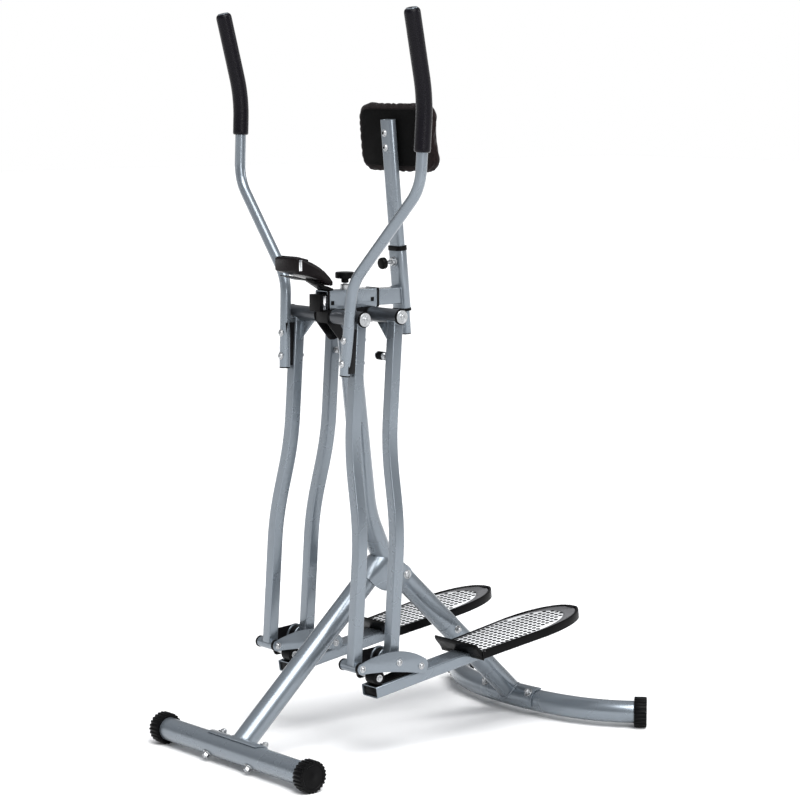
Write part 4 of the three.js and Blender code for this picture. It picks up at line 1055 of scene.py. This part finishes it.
def build_pedal(label, arm):
    body = f"{label}_pedal"
    seat = arm @ Matrix.Translation((0, PEDAL["start"], 0))
    bottom, deck, top = PEDAL["bottom"], PEDAL["deck"], PEDAL["top"]
    rings = [pedal_ring(3.5, 25.4), pedal_ring(3.5, bottom), pedal_ring(0.9, bottom), pedal_ring(0.2, bottom + 0.7),
             pedal_ring(0, top - 1.6), pedal_ring(0.4, top - 0.5), pedal_ring(1.3, top), pedal_ring(3.4, top),
             pedal_ring(4.4, top - 0.6), pedal_ring(5, deck + 0.6), pedal_ring(5.8, deck)]
    notch = block(-27, 27, -25, 12, 5, 25.35)
    add(f"{label}_pedal_tray", skin(rings).at(seat), (PLASTIC, "pedal_plastic"), body, [f"{label}_pedal"],
        cuts=[notch.at(seat)])
    profile = [(0, bottom), (3.5, bottom), (3.5, top), (-9, top + 13), (-13, top + 20), (-17, top + 20),
               (-17, top + 12), (-4, top - 8)]
    guard = side_plate(rounded(profile, 5, 4), 2 - PEDAL["half"], PEDAL["half"] - 2)
    add(f"{label}_pedal_guard", guard.at(seat), (PLASTIC, "pedal_plastic"), body, bevel=1.2, angle=50,
        cuts=[notch.at(seat)])
    hook = [(324, 33.2), (335, 33.6), (339.4, 31.6), (341.6, 27), (341.8, 17.4), (339.4, 17), (338.6, 26), (336, 29.4),
            (324, 29.4)]
    add(f"{label}_pedal_rear_hook", side_plate(hook, -10, 10).at(seat), (PLASTIC, "pedal_plastic"), body, bevel=0.7)
    # The ridge's grey is painted sheen, the light line it catches.
    edge = [Vector((p.x, p.y, deck + 0.9)) for p in pedal_ring(7.6, 0, 5, 304)]
    ridge = sweep(circle(1.25, 10), edge, up=Z, loop=True)
    add(f"{label}_pedal_ridge", ridge.at(seat), (PAINTED_SHEEN_GREY, "pedal_plastic"), body)
    sheet_end = 300
    sheet = [pedal_ring(9, deck - 0.4, 4, sheet_end), pedal_ring(9, deck + 0.9, 4, sheet_end),
             pedal_ring(9.6, deck + 1.3, 4, sheet_end)]
    add(f"{label}_pedal_tread", skin(sheet).at(seat), (TREAD, "tread_plastic"), body)
    studs = Shape()
    pitch = 13.3
    for row in range(22):
        y = 19 + row * pitch
        half = 57 if y < 165 else 57 * math.sqrt(max(0, 1 - ((y - 165) / 128) ** 2))
        for column in range(-4, 5):
            x = column * pitch
            if abs(x) < half - 3:
                studs += lathe([(0, 0), (0, 5.0), (0.5, 4.9), (0.9, 4.3), (0.9, 0)], (x, y, deck + 1.0), Z, 16)
    add(f"{label}_pedal_studs", studs.at(seat), (PLASTIC, "pedal_plastic"), body)
    # A grey band round the tread: painted sheen on the black plastic, showing at the rear tip.
    reach = [pedal_ring(7.4, deck - 0.4), pedal_ring(7.4, deck + 0.7), pedal_ring(8.2, deck + 1.0)]
    add(f"{label}_pedal_tip_sheen", skin(reach).at(seat), (PAINTED_SHEEN_GREY, "pedal_plastic"), body)


def build_arm(label, bracket):
    body = f"{label}_pedal"
    arm = bracket @ place(0, ARM["y"], ARM["z"], ARM["tilt"])
    half, height, length = ARM["half"], ARM["height"], ARM["length"]
    tube = square_tube(half, height / 2, 3.4, 2, 0, length, height / 2)
    add(f"{label}_arm_tube", tube.at(arm), SILVER, body, [f"{label}_pedal_arm"], bevel=0.4, angle=50)
    plug = block(-23, 23, 3, 14, 2, 23)
    plug += block(-22.4, 22.4, length - 10, length + 1, 2.4, 22.6)
    add(f"{label}_arm_plugs", plug.at(arm), MOULDED, body, bevel=0.9)
    y, z = 123.8, 37.3
    lug = [(y - 11, 24.4)] + [(y + 11, 24.4)] + arc(y, z, 11, 0, 180, 20)
    web = side_plate(lug, -21, -17) + side_plate(lug, 17, 21)
    web += lathe([(-39.7, 5.6), (-39.7, 10.5), (-39.2, 11), (25.2, 11), (25.7, 10.5), (25.7, 5.6)], (0, y, z), X, 40)
    add(f"{label}_arm_hinge_lug", web.at(arm), SILVER, body, bevel=0.3, angle=60)
    pad = side_plate([(26, 24.8), (28, 27), (96, 31), (110, 33), (112.5, 24.8)], -16, 16)
    pad += block(-10, 22, 0.8, 20, 24.8, 25.9)
    add(f"{label}_arm_stop_pad", pad.at(arm), RUBBERY, body, bevel=0.8)
    build_pedal(label, arm)


def build_bracket(label, low_front):
    body = f"{label}_bracket"
    outer, inner, plate = BRACKET["outer"], BRACKET["inner"], BRACKET["plate"]
    hinge = (BRACKET["hinge_y"], BRACKET["hinge_z"])
    add(f"{label}_bracket_outer", side_plate(outer_plate(), outer, outer + plate).at(low_front), SILVER, body,
        [f"{label}_bracket_outer_plate"], bevel=0.7, angle=50)
    # The inner plate is black partly as painted shade: it sits in the shadow on the inner side of the bracket.
    add(f"{label}_bracket_inner", side_plate(inner_plate(), inner - plate, inner).at(low_front), BLACK_AND_SHADE, body,
        [f"{label}_bracket_inner_plate"], bevel=0.7, angle=50)
    back = inner - plate
    front = lathe([(-40.5, 0), (-40.5, 9.8), (-39.9, 10.5), (-37.6, 10.5), (-37, 9.8), (-37, 6), (29, 6), (29, 0)],
                  (0, 0, 0), X) + bolt_head((29, 0, 0), X, 9)
    add(f"{label}_front_pin_set", front.at(low_front), PLATED, body, [f"{label}_front_pin"], bevel=0.2)
    rear = lathe([(back - 1, 0), (back - 1, 6), (29, 6), (29, 0)], (0, LINK_SPACING, 0), X)
    rear += bolt_head((29, LINK_SPACING, 0), X, 9)
    add(f"{label}_rear_pin_set", rear.at(low_front), PLATED, body, [f"{label}_rear_pin"], bevel=0.2)
    drum = lathe([(back - 14.3, 0), (back - 14.3, 12.4), (back - 13, 14), (back - 1, 14), (back - 0.1, 13.2),
                  (back - 0.1, 0)], (0, LINK_SPACING, 0), X, 48)
    add(f"{label}_rear_pin_cap", drum.at(low_front), MOULDED, body)
    pin = lathe([(back, 0), (back, 5), (29, 5), (29, 0)], (0, *hinge), X) + bolt_head((29, *hinge), X, 9)
    pin += nut((back, *hinge), -X, 11)
    add(f"{label}_hinge_pin_set", pin.at(low_front), PLATED, body, [f"{label}_hinge_pin"], bevel=0.2)
    r, start, end = ROLLER["radius"], ROLLER["start"], ROLLER["end"]
    roller = lathe([(start, 0), (start, r - 1.5), (start + 1.5, r), (end - 1.5, r), (end, r - 1.5), (end, 0)],
                   (0, ROLLER["y"], ROLLER["z"]), X, 48)
    add(f"{label}_roller_drum", roller.at(low_front), MOULDED, body, [f"{label}_stop_roller"])
    washer = lathe([(inner - end, 0), (inner - end, 5), (0, 5), (0, 8), (1.1, 8), (1.5, 7.6), (1.5, 5.2), (3.4, 5),
                    (4.1, 4), (4.1, 0)], (end, ROLLER["y"], ROLLER["z"]), X, 32)
    add(f"{label}_roller_bolt", washer.at(low_front), PLATED, body)
    build_arm(label, low_front)


def build_side(label, side):
    _, low_front = build_link(label, "front", side, FRONT_PIVOT_Y, -36, 25.7)
    rear_frame, low_rear = build_link(label, "rear", side, FRONT_PIVOT_Y + LINK_SPACING, -39.7, 25.7)
    ends = lathe([(-36.8, 7), (-36.8, 12.2), (-36.2, 12.8), (-33.4, 12.8), (-33, 11.2), (-33, 7)], (0, 0, 0), X, 40)
    ends += lathe([(19, 7), (19, 12), (19.6, 12.8), (25.2, 12.8), (25.8, 12.2), (25.8, 7)], (0, 0, 0), X, 40)
    add(f"{label}_low_sleeve_caps", ends.at(low_front), MOULDED, f"{label}_front")
    drum = lathe([(-36.4, 11), (-36.4, 21.4), (-35.8, 22), (-16.8, 22), (-16.1, 21.4), (-16.1, 11)], (0, 0, 0), X, 56)
    add(f"{label}_rear_drum", drum.at(low_rear), MOULDED, f"{label}_rear")
    flange = lathe([(-16, 11), (-16, 24.4), (-15.4, 25), (-13.6, 25), (-13, 24.4), (-13, 11)], (0, 0, 0), X, 56)
    flange += lathe([(-39.5, 11), (-39.5, 24.4), (-38.9, 25), (-37.1, 25), (-36.5, 24.4), (-36.5, 11)], (0, 0, 0), X, 56)
    add(f"{label}_rear_flange", flange.at(low_rear), SILVER, f"{label}_rear")
    stud = lathe([(50.5, 0), (50.5, 5.6), (52, 8.4), (54.4, 9), (55, 8.6), (55, 4), (74, 4), (74, 8.4), (74.6, 9),
                  (79, 9), (80, 8), (82.4, 6.4), (82.4, 4), (90, 4), (90, 6.5), (92.7, 6.5), (92.7, 0)],
                 (0, 0, -86.6), X, 32)
    bumper = lathe([(55, 3), (55, 8.2), (56, 9.2), (73, 9.2), (74, 8.2), (74, 3)], (0, 0, -86.6), X, 40)
    add(f"{label}_bumper_stud", stud.at(rear_frame), PLATED, f"{label}_rear")
    add(f"{label}_bumper", bumper.at(rear_frame), RUBBERY, f"{label}_rear")
    build_handle(label, side)
    build_bracket(label, low_front)


build_front_base()
build_rear_base()
build_hub()
build_post()
build_pivot_bracket()
build_beam()
build_console()
build_pad_slide()
build_chest_pad()
build_side("left", 1)
build_side("right", -1)
